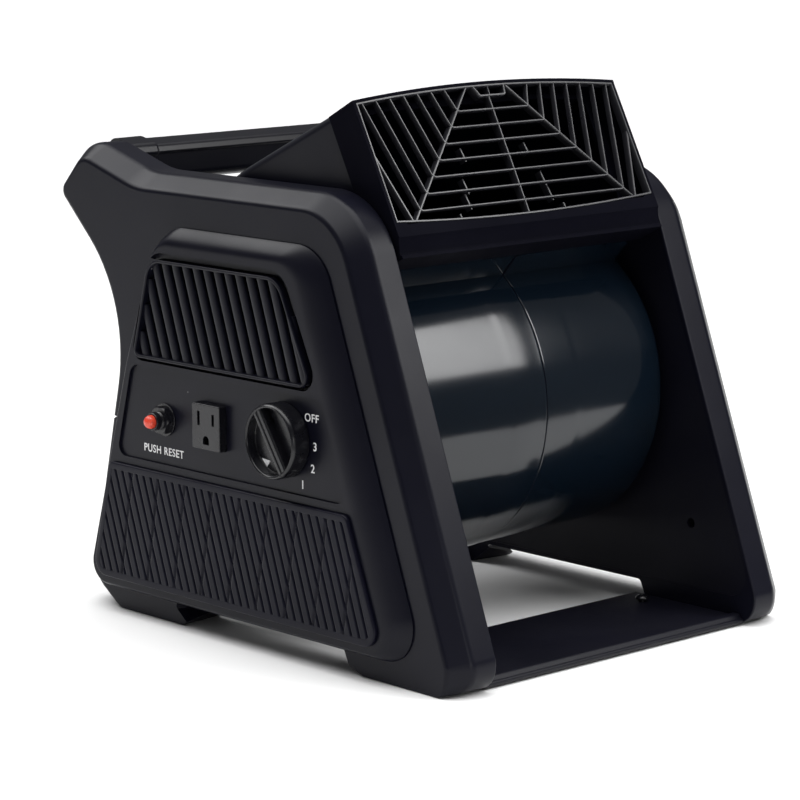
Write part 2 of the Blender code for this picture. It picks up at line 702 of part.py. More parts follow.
def blade_set(side, low):
    """Half of the blades as one tool: forward-curved strips from the disc to the inlet."""
    outer = arc((67.8, 0), 5.6, math.radians(-70), math.radians(70), 2)
    inner = arc((67.8, 0), 4.4, math.radians(70), math.radians(-70), 2)
    section = outer + inner
    bm = bmesh.new()
    for i in range(BLADES):
        turn = Matrix.Translation((0, *PIVOT)) @ Matrix.Rotation(2 * math.pi * i / BLADES, 4, "X")
        rings = []
        for x in (side * low, side * (WHEEL_HALF_WIDTH - 0.5)):
            rings.append([bm.verts.new(turn @ Vector((x, p.y, p.x))) for p in section])
        for k in range(len(section)):
            bm.faces.new((rings[0][k - 1], rings[0][k], rings[1][k], rings[1][k - 1]))
        bm.faces.new(rings[0])
        bm.faces.new(rings[1])
    return finish_mesh("blades", bm)


FOOT_PADS = {"front": (-142, -106), "rear": (64, 104)}
FOOT_PAD_HEIGHT = 3.0
BASE_SCREW_X = 88.0
BASE_SCREW_Y = {"front": -100.0, "rear": 92.0}
CORD_BUSH = (-112.0, 122.5, 114.0)
GRILLE_BARS = 7
KNOB_BAR_TURN = math.radians(-34.0)

clear_scene()
PARTS = new_collection("utility_blower_fan")
CUTTERS = new_collection("cutters")
CUTTERS.hide_render = True

CHARCOAL = new_material("charcoal_plastic", (0.018, 0.018, 0.021), 0.42)
SATIN_BLACK = new_material("satin_black_plastic", (0.014, 0.014, 0.016), 0.5)
GLOSS_BLACK = new_material("gloss_black_plastic", (0.01, 0.01, 0.011), 0.25)
DRUM_BLACK = new_material("drum_gloss_plastic", (0.006, 0.012, 0.016), 0.15)
RUBBER = new_material("foot_rubber", (0.02, 0.02, 0.02), 0.8)
STEEL = new_material("zinc_steel", (0.5, 0.5, 0.52), 0.35, 1.0)
RED = new_material("red_plastic", (0.7, 0.05, 0.03), 0.3)

FRAME = new_empty("frame_origin", None, (MIDDLE_X, 0, 0))
HEAD = new_empty("head_pivot_axis", FRAME, (0, *PIVOT))
ROTOR = new_empty("rotor_axis", HEAD, (0, 0, 0))
KNOB_JOINT = new_empty("knob_axis", FRAME, (-PANEL_FACE, *KNOB))
BUTTON_JOINT = new_empty("button_axis", FRAME, (-PANEL_FACE, *BREAKER))
JOINT_AT = {
    "frame_origin": Vector((0, 0, 0)),
    "head_pivot_axis": Vector((0, *PIVOT)),
    "rotor_axis": Vector((0, *PIVOT)),
    "knob_axis": Vector((-PANEL_FACE, *KNOB)),
    "button_axis": Vector((-PANEL_FACE, *BREAKER)),
}

for each_side in (LEFT, RIGHT):
    side_housing(each_side)
    inner_wall(each_side)
    side_cover(each_side)
    vent_grille(each_side)
    lower_pad(each_side)
    base_plate(each_side, "front", -166, -81)
    base_plate(each_side, "rear", 62, 120)
    for base_end in ("front", "rear"):
        base_screw(each_side, base_end)
        rubber_foot(each_side, base_end)
    friction_washer(each_side)
    scroll_half(each_side)
    inlet_ring(each_side)
    pivot_retainer(each_side)
    blade_cage(each_side)

carry_handle()
cord_bush()
receptacle()
breaker()
breaker_nut()
reset_button()
rotary_switch()
switch_spindle()
speed_knob()
run_capacitor()
outlet_bezel()
outlet_grille()
motor()
motor_bracket()
motor_shaft()
blower_wheel()
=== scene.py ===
"""The looks of the utility blower fan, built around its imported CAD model.

Shapes are drawn in millimetres about the machine's middle plane, X = 0, and become metres in the model's
own frame where each mesh is made. -Y is the front, and the left side (-X) carries the controls.
"""

import math

import bmesh
import bpy
from mathutils import Matrix, Vector


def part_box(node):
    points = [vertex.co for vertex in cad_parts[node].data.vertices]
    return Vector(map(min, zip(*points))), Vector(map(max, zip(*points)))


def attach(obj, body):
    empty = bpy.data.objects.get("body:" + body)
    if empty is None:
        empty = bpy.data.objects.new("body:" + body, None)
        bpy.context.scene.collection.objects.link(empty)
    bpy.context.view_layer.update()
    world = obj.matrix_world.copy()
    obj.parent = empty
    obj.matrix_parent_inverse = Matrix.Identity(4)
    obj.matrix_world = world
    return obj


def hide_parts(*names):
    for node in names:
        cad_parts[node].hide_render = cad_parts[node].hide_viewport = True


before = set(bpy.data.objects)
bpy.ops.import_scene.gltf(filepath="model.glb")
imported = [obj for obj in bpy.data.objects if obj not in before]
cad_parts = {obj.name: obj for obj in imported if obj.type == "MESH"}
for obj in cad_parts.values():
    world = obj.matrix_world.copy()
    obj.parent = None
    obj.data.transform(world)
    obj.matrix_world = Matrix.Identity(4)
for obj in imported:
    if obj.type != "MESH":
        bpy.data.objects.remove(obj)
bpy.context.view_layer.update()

MM = 0.001
LEFT, RIGHT = -1, 1
SIDE_NAMES = {LEFT: "left", RIGHT: "right"}
HANDLE_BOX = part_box("carry_handle")
MIDDLE = Vector(((HANDLE_BOX[0].x + HANDLE_BOX[1].x) / 2, 0, 0))

HALF_WIDTH = 131.0
RIM = 102.5
SHOULDER = 119.0
CHAMFER_INSET = 9.0
FRONT_LEAN = 0.368
PANEL_FACE = 137.5
PAD_FACE = 141.4
KNOB = (-45.0, 124.0)
RECEPTACLE = (17.5, 122.8)
BREAKER = (60.0, 121.0)
PIVOT = (-17.0, 131.0)
FACE_TILT = math.radians(27.6)
FACE_CENTRE = (-78.0, 274.5)
FACE_HALF_WIDTH = 101.0
FACE_HALF_HEIGHT = 36.6
BEZEL_DEPTH = 22.0
DRUM_EDGE = 98.0
DRUM_DRAFT = 0.0215
DUCT_START = 0.2655
PIVOT_HOLE = 59.1
PEG = (-124.5, 53.7)
BUSH = (-112, 122.5, 114)
FRONT_FOOT, REAR_FOOT = (-142, -106), (64, 104)
FRONT_SCREW, REAR_SCREW = -100.0, 92.0
SCREW_ACROSS = 88
KNOB_TOP, KNOB_FLOOR = 149.5, 143.6
LOUVRE_PITCH = 9.3
BLADE_COUNT = 44


# Outlines, as lists of 2-D vectors that run anticlockwise


def rounded(corners, steps=10):
    """The outline through (y, z, radius) corners, with an arc of that radius at each."""
    points = []
    for i, (y, z, radius) in enumerate(corners):
        corner = Vector((y, z))
        if radius == 0:
            points.append(corner)
            continue
        back = (Vector(corners[i - 1][:2]) - corner).normalized()
        ahead = (Vector(corners[(i + 1) % len(corners)][:2]) - corner).normalized()
        points += fillet(corner, back, ahead, radius, steps)
    return points


def rounded_box(y, z, half_y, half_z, radius, steps):
    """A rectangle about (y, z), with rounded corners."""
    signs = ((-1, -1), (1, -1), (1, 1), (-1, 1))
    return rounded([(y + a * half_y, z + b * half_z, radius) for a, b in signs], steps)


def fillet(corner, back, ahead, radius, steps):
    half = back.angle(ahead) / 2
    centre = corner + (back + ahead).normalized() * (radius / math.sin(half))
    spoke = corner + back * (radius / math.tan(half)) - centre
    turn = math.copysign(math.pi - 2 * half, ahead.cross(back))
    return [centre + Matrix.Rotation(turn * k / steps, 2) @ spoke for k in range(steps + 1)]


def rounded_path(corners, steps=5):
    """An open path through (u, v, radius) corners. The radius of its two ends isn't used."""
    points = [Vector(corners[0][:2])]
    for before, (u, v, radius), after in zip(corners, corners[1:], corners[2:]):
        corner = Vector((u, v))
        if radius == 0:
            points.append(corner)
            continue
        back = (Vector(before[:2]) - corner).normalized()
        ahead = (Vector(after[:2]) - corner).normalized()
        points += fillet(corner, back, ahead, radius, steps)
    return points + [Vector(corners[-1][:2])]


def arc(centre, radius, start, end, steps):
    angles = [start + (end - start) * k / steps for k in range(steps + 1)]
    return [Vector(centre) + radius * Vector((math.cos(a), math.sin(a))) for a in angles]


def grown(outline, distance):
    """The outline with every edge moved outwards by the distance."""
    points = []
    for i, point in enumerate(outline):
        before = (point - outline[i - 1]).normalized()
        after = (outline[(i + 1) % len(outline)] - point).normalized()
        first, second = Vector((before.y, -before.x)), Vector((after.y, -after.x))
        points.append(point + (first + second) * (distance / (1 + first.dot(second))))
    return points


def inside(point, outline):
    """Whether a point is in a convex anticlockwise outline."""
    pairs = zip(outline, outline[1:] + outline[:1])
    return all((b - a).cross(point - a) >= 0 for a, b in pairs)


def smooth(x):
    x = min(1.0, max(0.0, x))
    return x * x * (3 - 2 * x)


# Meshes


def object_from(name, bm, matrix=None):
    """Turns a mesh drawn in millimetres about the middle plane into an object in the model's frame."""
    if matrix is not None:
        bmesh.ops.transform(bm, matrix=matrix, verts=bm.verts)
    bmesh.ops.transform(bm, matrix=Matrix.Translation(MIDDLE) @ Matrix.Scale(MM, 4), verts=bm.verts)
    bmesh.ops.recalc_face_normals(bm, faces=bm.faces)
    mesh = bpy.data.meshes.new(name)
    bm.to_mesh(mesh)
    bm.free()
    return new_object(name, mesh)


def new_object(name, data):
    obj = bpy.data.objects.new(name, data)
    bpy.context.scene.collection.objects.link(obj)
    return obj


def loft_into(bm, rings, closed=False, caps=True):
    """Skins rings of 3-D points. With closed, the last ring joins the first."""
    made = [[bm.verts.new(p) for p in ring] for ring in rings]
    pairs = list(zip(made, made[1:])) + ([(made[-1], made[0])] if closed else [])
    for low, high in pairs:
        for i in range(len(low)):
            bm.faces.new((low[i - 1], low[i], high[i], high[i - 1]))
    if caps and not closed:
        bm.faces.new(made[0])
        bm.faces.new(made[-1])


def rim_into(bm, side, outline, profile, closed=True):
    """Runs a (growth, x) profile round an outline, as a ring or, if it isn't closed, as a solid."""
    rings = [[(side * p.y, q.x, q.y) for q in grown(outline, p.x)] for p in profile]
    loft_into(bm, rings, closed=closed)


def loft(name, sections, matrix=None):
    """A solid through (x, outline) sections that all have the same number of points."""
    bm = bmesh.new()
    loft_into(bm, [[(x, p.x, p.y) for p in outline] for x, outline in sections])
    return object_from(name, bm, matrix)


def slab(name, outline, x_from, x_to, matrix=None):
    return loft(name, [(x_from, outline), (x_to, outline)], matrix)


def block(name, x_range, y_range, z_range, matrix=None):
    bm = bmesh.new()
    bmesh.ops.create_cube(bm, size=1.0)
    ranges = (x_range, y_range, z_range)
    bmesh.ops.scale(bm, vec=[abs(high - low) for low, high in ranges], verts=bm.verts)
    bmesh.ops.translate(bm, vec=[(low + high) / 2 for low, high in ranges], verts=bm.verts)
    return object_from(name, bm, matrix)


def rod(name, radius, x_from, x_to, centre, segments=48):
    """A cylinder along X."""
    bm = bmesh.new()
    circle = arc((0, 0), radius, 0, 2 * math.pi, segments)[:-1]
    loft_into(bm, [[(x, p.x + centre[0], p.y + centre[1]) for p in circle] for x in (x_from, x_to)])
    return object_from(name, bm)


def turned(name, profile, matrix, segments=96):
    """A turned solid from a (radius, height) profile, about the matrix's Z axis."""
    bm = bmesh.new()
    spin_into(bm, profile, segments)
    return object_from(name, bm, matrix)


def spin_into(bm, profile, segments, matrix=None):
    """Spins a (radius, height) profile. It closes on itself, unless it starts and ends on the axis."""
    angles = [2 * math.pi * k / segments for k in range(segments)]
    ring_shape = all(r > 0 for r, _ in profile)
    rings = []
    for r, h in profile:
        if r > 0:
            rings.append([bm.verts.new((r * math.cos(a), r * math.sin(a), h)) for a in angles])
        else:
            rings.append([bm.verts.new((0, 0, h))])
    pairs = list(zip(rings, rings[1:])) + ([(rings[-1], rings[0])] if ring_shape else [])
    for low, high in pairs:
        for i in range(segments):
            corners = [low[i - 1] if len(low) > 1 else low[0]]
            corners += [low[i]] if len(low) > 1 else []
            corners += [high[i], high[i - 1]] if len(high) > 1 else [high[0]]
            bm.faces.new(corners)
    if matrix is not None:
        bmesh.ops.transform(bm, matrix=matrix, verts=[v for ring in rings for v in ring])


def along_x(side, centre, base=0.0):
    """Puts a turned profile's axis on X, with its height measured outwards on that side from a base."""
    return Matrix.Translation((side * base, *centre)) @ Matrix.Rotation(side * math.pi / 2, 4, "Y")


def about(centre, angle):
    """Moves a piece to a (y, z) centre, turned about X."""
    return Matrix.Translation((0, *centre)) @ Matrix.Rotation(angle, 4, "X")


def combine(obj, tool, operation="DIFFERENCE"):
    """Cuts or joins a tool to an object, and removes the tool."""
    boolean = obj.modifiers.new("combine", "BOOLEAN")
    boolean.operation = operation
    boolean.solver = "EXACT"
    boolean.object = tool
    apply_modifiers(obj)
    bpy.data.objects.remove(tool)
    return obj


def apply_modifiers(obj):
    bpy.context.view_layer.update()
    graph = bpy.context.evaluated_depsgraph_get()
    mesh = bpy.data.meshes.new_from_object(obj.evaluated_get(graph))
    obj.modifiers.clear()
    obj.data = mesh


def soften(obj, width, segments=3, angle=35):
    """Rounds the edges sharper than an angle."""
    bevel = obj.modifiers.new("soften", "BEVEL")
    bevel.width = width * MM
    bevel.segments = segments
    bevel.limit_method = "ANGLE"
    bevel.angle_limit = math.radians(angle)
    apply_modifiers(obj)
    return obj


def finish(obj, body, look, replaces=(), sharp=32, weighted=True):
    """Shades a piece, and says what it rides on, what it's made of and which CAD nodes it stands for."""
    obj.data.materials.clear()
    obj.data.materials.append(M[look])
    for face in obj.data.polygons:
        face.use_smooth = True
        face.material_index = 0
    obj.data.set_sharp_from_angle(angle=math.radians(sharp))
    if weighted:
        normals = obj.modifiers.new("normals", "WEIGHTED_NORMAL")
        normals.keep_sharp = True
    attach(obj, body)
    if replaces:
        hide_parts(*replaces)
    return obj


# Materials


def shader_of(material):
    return material.node_tree.nodes["Principled BSDF"]


def new_material(name, colour, roughness, metallic=0.0, specular=0.5):
    material = bpy.data.materials.new(name)
    material.use_nodes = True
    shader = shader_of(material)
    shader.inputs["Base Color"].default_value = (*colour, 1)
    shader.inputs["Roughness"].default_value = roughness
    shader.inputs["Metallic"].default_value = metallic
    shader.inputs["Specular IOR Level"].default_value = specular
    material.diffuse_color = (*colour, 1)
    return material


def add_node(material, kind, **settings):
    node = material.node_tree.nodes.new(kind)
    for key, value in settings.items():
        if hasattr(node, key):
            setattr(node, key, value)
        else:
            node.inputs[key.replace("_", " ")].default_value = value
    return node


def wire(material, source, socket, target, name):
    material.node_tree.links.new(source.outputs[socket], target.inputs[name])


def noise_node(material, scale, detail=4.0, roughness=0.55, stretch=None):
    place = add_node(material, "ShaderNodeTexCoord")
    noise = add_node(material, "ShaderNodeTexNoise", Scale=scale, Detail=detail, Roughness=roughness)
    if stretch:
        mapping = add_node(material, "ShaderNodeMapping")
        mapping.inputs["Scale"].default_value = stretch
        wire(material, place, "Object", mapping, "Vector")
        wire(material, mapping, "Vector", noise, "Vector")
    else:
        wire(material, place, "Object", noise, "Vector")
    return noise


def remap(material, source, socket, low, high, from_low=0.3, from_high=0.7):
    ends = dict(From_Min=from_low, From_Max=from_high, To_Min=low, To_Max=high)
    node = add_node(material, "ShaderNodeMapRange", **ends)
    wire(material, source, socket, node, "Value")
    return node


def vary_colour(material, dark, light, scale, detail=5.0, stretch=None):
    """Two close colours over a soft noise."""
    noise = noise_node(material, scale, detail, stretch=stretch)
    ramp = add_node(material, "ShaderNodeValToRGB")
    ramp.color_ramp.elements[0].position = 0.32
    ramp.color_ramp.elements[0].color = (*dark, 1)
    ramp.color_ramp.elements[1].position = 0.68
    ramp.color_ramp.elements[1].color = (*light, 1)
    wire(material, noise, "Fac", ramp, "Fac")
    wire(material, ramp, "Color", shader_of(material), "Base Color")
    return ramp


def vary_roughness(material, low, high, scale, stretch=None):
    noise = noise_node(material, scale, 5.0, stretch=stretch)
    wire(material, remap(material, noise, "Fac", low, high), "Result", shader_of(material), "Roughness")


def grain(material, scale, distance, strength, waves=None):
    """A fine moulded surface, and with waves a wide and shallow unevenness under it."""
    fine = add_node(material, "ShaderNodeBump", Strength=strength, Distance=distance)
    wire(material, noise_node(material, scale, 3.0, 0.6), "Fac", fine, "Height")
    if waves:
        wide = add_node(material, "ShaderNodeBump", Strength=0.3, Distance=waves[1])
        wire(material, noise_node(material, waves[0], 1.0), "Fac", wide, "Height")
        wire(material, wide, "Normal", fine, "Normal")
    wire(material, fine, "Normal", shader_of(material), "Normal")


def dust(material, ramp, colour, scale, size):
    """A few pale specks of dust over the colour."""
    place = add_node(material, "ShaderNodeTexCoord")
    cells = add_node(material, "ShaderNodeTexVoronoi", Scale=scale)
    wire(material, place, "Object", cells, "Vector")
    spot = remap(material, cells, "Distance", 1.0, 0.0, size * 0.6, size)
    split = add_node(material, "ShaderNodeSeparateColor")
    wire(material, cells, "Color", split, "Color")
    few = add_node(material, "ShaderNodeMath", operation="GREATER_THAN")
    few.inputs[1].default_value = 0.93
    wire(material, split, "Red", few, 0)
    both = add_node(material, "ShaderNodeMath", operation="MULTIPLY")
    wire(material, spot, "Result", both, 0)
    wire(material, few, "Value", both, 1)
    mix = add_node(material, "ShaderNodeMix", data_type="RGBA")
    wire(material, both, "Value", mix, "Factor")
    wire(material, ramp, "Color", mix, 6)
    mix.inputs[7].default_value = (*colour, 1)
    wire(material, mix, 2, shader_of(material), "Base Color")


def moulded(name, tones, patch, rough, bump, waves=None, stretch=None, specks=None, **settings):
    """A material mottled between two tones in patches, with its roughness, grain and any specks of dust.

    rough is (low, high, scale), or one number where it doesn't vary. bump is (scale, depth, strength).
    """
    middle = [(a + b) / 2 for a, b in zip(*tones)]
    varied = isinstance(rough, tuple)
    material = new_material(name, middle, (rough[0] + rough[1]) / 2 if varied else rough, **settings)
    ramp = vary_colour(material, *tones, patch, stretch=stretch)
    if specks:
        dust(material, ramp, *specks)
    if varied:
        vary_roughness(material, *rough, stretch=stretch and (0.5, 1, 1))
    if bump:
        grain(material, *bump, waves)
    return material


def make_materials():
    return dict(
        shell=moulded(
            "charcoal_satin", ((0.003, 0.0031, 0.0072), (0.0042, 0.0043, 0.009)), 16, (0.3, 0.37, 22),
            (2600, 0.00004, 0.25), (30, 0.0004), specks=((0.2, 0.2, 0.2), 38.0, 0.022), specular=0.15,
        ),
        grip=moulded(
            "handle_satin", ((0.0032, 0.0032, 0.006), (0.0045, 0.0045, 0.0078)), 20, (0.27, 0.34, 26),
            (2600, 0.00004, 0.25), (30, 0.0004), specular=0.24,
        ),
        bezel=moulded(
            "bezel_satin", ((0.003, 0.003, 0.0058), (0.0044, 0.0044, 0.0078)), 22, (0.4, 0.5, 28),
            (2600, 0.00004, 0.25), specular=0.01,
        ),
        wall=moulded(
            "charcoal_inner", ((0.0026, 0.0026, 0.006), (0.0036, 0.0036, 0.008)), 14, (0.38, 0.5, 18),
            (2200, 0.00004, 0.3), (22, 0.0006), specks=((0.3, 0.3, 0.3), 30.0, 0.022), specular=0.2,
        ),
        pad=moulded(
            "ribbed_pad", ((0.0034, 0.0034, 0.0085), (0.0046, 0.0046, 0.011)), 24, (0.3, 0.4, 30),
            (3000, 0.00004, 0.3), specular=0.13,
        ),
        drum=moulded(
            "drum_gloss", ((0.002, 0.0046, 0.0085), (0.0032, 0.0068, 0.0122)), 9, (0.07, 0.17, 12),
            (900, 0.00002, 0.1), (16, 0.0011), (0.4, 1, 1), ((0.35, 0.4, 0.42), 26.0, 0.018),
        ),
        duct=moulded(
            "duct_satin", ((0.0022, 0.0036, 0.0068), (0.0034, 0.0052, 0.0095)), 12, (0.27, 0.34, 16),
            (1800, 0.00003, 0.2), (20, 0.0006), specular=0.24,
        ),
        gloss=moulded(
            "black_gloss", ((0.004, 0.004, 0.0056), (0.0065, 0.0065, 0.009)), 40, (0.2, 0.32, 60),
            (1800, 0.00002, 0.15), specular=0.4,
        ),
        guard=moulded(
            "grille_satin", ((0.013, 0.013, 0.0165), (0.019, 0.019, 0.0235)), 30, (0.26, 0.38, 40),
            (2000, 0.00003, 0.2), specular=0.85,
        ),
        rubber=moulded(
            "foot_rubber", ((0.014, 0.014, 0.014), (0.03, 0.03, 0.029)), 60, 0.85, (1500, 0.0001, 0.4),
        ),
        steel=moulded(
            "zinc_plate", ((0.45, 0.45, 0.46), (0.62, 0.62, 0.63)), 50, (0.25, 0.45, 70),
            (900, 0.00003, 0.2), metallic=1.0,
        ),
        cast=moulded(
            "motor_enamel", ((0.022, 0.022, 0.024), (0.04, 0.04, 0.042)), 40, (0.35, 0.55, 50),
            (700, 0.0001, 0.3),
        ),
        red=moulded(
            "red_button", ((0.68, 0.05, 0.025), (0.8, 0.085, 0.045)), 200, (0.25, 0.4, 300),
            (3000, 0.00002, 0.2),
        ),
        ink=moulded(
            "white_print", ((0.62, 0.62, 0.63), (0.82, 0.82, 0.82)), 900, 0.5, (4000, 0.00002, 0.2),
        ),
        # Painted shade: a near-black, rough finish for the cup, sheet and floors that stand for the shade
        # inside the peg hole, the vent's gaps and the outlet's slots.
        dark=moulded(
            "painted_shade_black", ((0.002, 0.002, 0.002), (0.005, 0.005, 0.005)), 90, (0.6, 0.8, 90), None,
        ),
    )


M = make_materials()


# Side housings


def housing_outline(bottom, inset=0.0):
    """The housing's outline from a level upwards, drawn in by an inset."""
    corners = [
        (-181.2 + FRONT_LEAN * bottom, bottom, 15),
        (153.5 - 0.235 * bottom - 24.5, bottom, 10),
        (153.5 - 0.235 * (bottom + 14), bottom + 14, 12),
        (111.0, 180.0, 79),
        (177.0, 243.0, 14),
        (146.0, 275.0, 22),
        (92.0, 259.0, 60),
        (-181.2 + FRONT_LEAN * 259, 259.0, 48),
    ]
    return rounded(drawn_in(corners, inset), 14)


def drawn_in(corners, inset):
    """The corners moved inwards, with every arc kept about its own centre."""
    points = [Vector(c[:2]) for c in corners]
    moved = []
    for i, (point, (_, _, radius)) in enumerate(zip(grown(points, -inset), corners)):
        turn = (points[i] - points[i - 1]).cross(points[(i + 1) % len(points)] - points[i])
        moved.append((point.x, point.y, max(0.8, radius - inset) if turn > 0 else radius + inset))
    return moved


def housing_section(inset):
    """The outline drawn in by an inset, but with the feet's soles kept on the ground."""
    points = []
    for p, q in zip(housing_outline(0.6), housing_outline(0.6, inset)):
        hold = smooth((22 - p.y) / 14)
        low = Vector((min(q.x, p.x - 13 * inset / CHAMFER_INSET) if p.x > 0 else q.x, p.y))
        points.append(q.lerp(low, hold))
    return points


def arch_outline(rear_low, rear_high):
    """The gap between a housing's feet."""
    corners = [(-103, -5, 0), (rear_low, -5, 0), (rear_low, 0, 0), (rear_high, 13.5, 3)]
    return rounded(corners + [(-84.5, 13.5, 3), (-88.5, 4.5, 4), (-102, 0, 0)], 4)


def side_housing(side):
    name = SIDE_NAMES[side]
    profile = [(RIM, 2.2, 0), (RIM, 0, 1.0), (SHOULDER, 0, 7)]
    profile += [(HALF_WIDTH, CHAMFER_INSET, 4), (HALF_WIDTH, 12.5, 0)]
    sections = [(side * p.x, housing_section(p.y)) for p in rounded_path(profile, 7)[1:-1]]
    housing = loft(name + "_side_housing_skin", sections)
    hollow = grown(housing_outline(13.0), -3.0)
    cavity = loft(
        "cavity",
        [(side * 128, grown(hollow, -8)), (side * 117, hollow), (side * 97.5, hollow)],
    )
    combine(housing, slab("window", grown(cover_face_outline(), -9.3), side * 126.8, side * 134))
    combine(housing, cavity)
    sections = [(side * 98, arch_outline(60.6, 41.7)), (side * 140, arch_outline(54.7, 72.6))]
    combine(housing, loft("arch", sections))
    for y_from, y_to in (FRONT_FOOT, REAR_FOOT):
        combine(housing, block("pocket", (side * 109.7, side * 125.3), (y_from - 0.3, y_to + 0.3), (-5, 3.3)))
    if side == LEFT:
        combine(housing, block("notch", (-119.5, -140), (113.5, 140), (113.0, 115.0)))
        bore = Matrix.Translation(BUSH) @ Matrix.Rotation(math.pi / 2, 4, "X")
        combine(housing, turned("bore", [(0, -20), (5.8, -20), (5.8, 20), (0, 20)], bore, 32))
    return finish(housing, "frame", "shell", (name + "_side_housing",), 28)


def inner_wall(side):
    name = SIDE_NAMES[side]
    outline = grown(housing_outline(13.0), -3.05)
    wall = slab(name + "_inner_wall_skin", outline, side * (RIM + 0.12), side * (RIM + 3))
    combine(wall, rod("pivot_hole", PIVOT_HOLE, side * 95, side * 112, PIVOT, 96))
    combine(wall, rod("peg_hole", 3, side * 95, side * 112, PEG, 32))
    return finish(wall, "frame", "wall", (name + "_inner_wall",), 28)


def peg_well(side):
    """A cup behind the small hole near the front of each inner wall, in a near-black finish: painted shade for
    the hole's inside.
    """
    profile = [(0, 9), (3.6, 9), (3.6, 3.4), (4.8, 3.4), (4.8, 10), (0, 10)]
    well = turned(SIDE_NAMES[side] + "_peg_well", profile, along_x(side, PEG, RIM), 32)
    return finish(well, "frame", "dark")


# Side covers


def cover_base_outline():
    front = -70.0 - FRONT_LEAN * 218
    corners = [(front, 13, 21), (137, 13, 14), (97, 150, 80), (63, 231, 22), (-70, 231, 28)]
    return rounded(corners, 12)


def cover_face_outline():
    front = -48.7
    low, high = front - FRONT_LEAN * 214, front - FRONT_LEAN * 10.5
    return rounded([(low, 17, 12), (133, 17, 11), (93, 150, 80), (66, 220.5, 16), (high, 220.5, 20)], 12)


def vent_outline():
    return rounded([(-69.5, 154, 7), (88, 154, 5), (72, 212.5, 14), (-42, 212.5, 16)], 10)


def panel_outline():
    return rounded([(-97, 95, 6), (104, 95, 6), (89, 150, 8), (-77, 150, 6)], 8)


def pad_outline():
    return rounded([(-125, 21, 9), (127, 21, 9), (109.5, 90.5, 5), (-98.5, 90.5, 5)], 10)


def side_cover(side):
    name = SIDE_NAMES[side]
    base, face = cover_base_outline(), cover_face_outline()
    swell = [(0.0, 131.3), (0.0, 131.9), (0.02, 132.2)]
    for k in range(1, 13):
        t = k / 12
        swell.append((0.02 + 0.98 * t, 132.2 + 6.8 * math.sin(t * math.pi / 2) ** 0.92))
    swell += [(1.06, 139.0), (1.13, 139.0)]
    sections = [(side * x, [b.lerp(f, t) for b, f in zip(base, face)]) for t, x in swell]
    cover = loft(name + "_side_cover_skin", sections)
    surround = [p + Vector((-2.4, 1.4)) for p in grown(vent_outline(), 2.6)]
    combine(cover, slab("vent_surround", surround, side * 134.6, side * 145))
    combine(cover, slab("vent_opening", grown(vent_outline(), -0.6), side * 120, side * 145))
    combine(cover, slab("panel_recess", panel_outline(), side * PANEL_FACE, side * 145))
    combine(cover, slab("vent_back", grown(vent_outline(), 0.4), side * 120, side * 134.6))
    if side == LEFT:
        y, z = RECEPTACLE
        combine(cover, block("outlet_hole", (-125, -145), (y - 11.6, y + 11.6), (z - 12.4, z + 12.4)))
        combine(cover, rod("breaker_hole", 5.6, -125, -145, BREAKER))
        combine(cover, rod("spindle_hole", 4.5, -125, -145, KNOB))
    soften(cover, 0.55, 3, 40)
    return finish(cover, "frame", "shell", (name + "_side_cover",), 30)


def slat_into(bm, side, y, z_low, z_high, lean):
    """One louvre: a leaning rib with a round nose, which is narrower at its back."""
    nose = [(-1.9, 132.9), (-3.05, 135.0), (-3.3, 135.9), (-2.9, 136.9), (-1.6, 137.6)]
    section = nose + [(-a, x) for a, x in reversed(nose)]
    rings = []
    for z in (z_low, z_high):
        shift = y + (z - 183.0) * lean
        rings.append([(side * x, shift + a, z) for a, x in section])
    loft_into(bm, rings)


def vent_grille(side):
    """Leaning louvres inside a raised lip."""
    name = SIDE_NAMES[side]
    outline = vent_outline()
    lean = math.tan(math.radians(18.5))
    bm = bmesh.new()
    inner = grown(outline, -2.2)
    for i in range(-1, 19):
        y = 8 + (i - 8.5) * LOUVRE_PITCH
        spans = [z for z in range(150, 217) if inside(Vector((y + (z - 183.0) * lean, z)), inner)]
        if len(spans) > 6:
            slat_into(bm, side, y, spans[0] - 2.2, spans[-1] + 2.2, lean)
    lip = [(-0.2, 134.8, 0), (-0.2, 139.35, 0.7), (-2.0, 139.35, 0.7), (-2.5, 134.0, 0)]
    rim_into(bm, side, outline, rounded_path(lip, 4))
    grille = object_from(name + "_vent_grille_skin", bm)
    return finish(grille, "frame", "shell", (name + "_vent_grille",), 35)


def vent_backing(side):
    """Painted shade: a near-black sheet close behind the louvres stands for the shade in the gaps between them.
    """
    outline = grown(vent_outline(), -0.4)
    screen = slab(SIDE_NAMES[side] + "_vent_shade_sheet", outline, side * 131.4, side * 132.2)
    return finish(screen, "frame", "dark")


def pad_depth(y, z):
    """How deep the pad's leaning grooves and the fine lines that cross them are at a point."""
    pitch, crossing = 6.6, 24.3
    across = (y - 0.338 * (z - 55)) / pitch
    groove = smooth(1.35 - abs(across - round(across)) * pitch / 0.62)
    line = (y + 0.194 * (z - 55) + 4) / crossing
    off = abs(line - round(line)) * crossing
    return 1.5 * groove * (0.4 + 0.6 * smooth((off - 0.5) / 1.1)) + 0.85 * smooth(1.4 - off / 0.6)


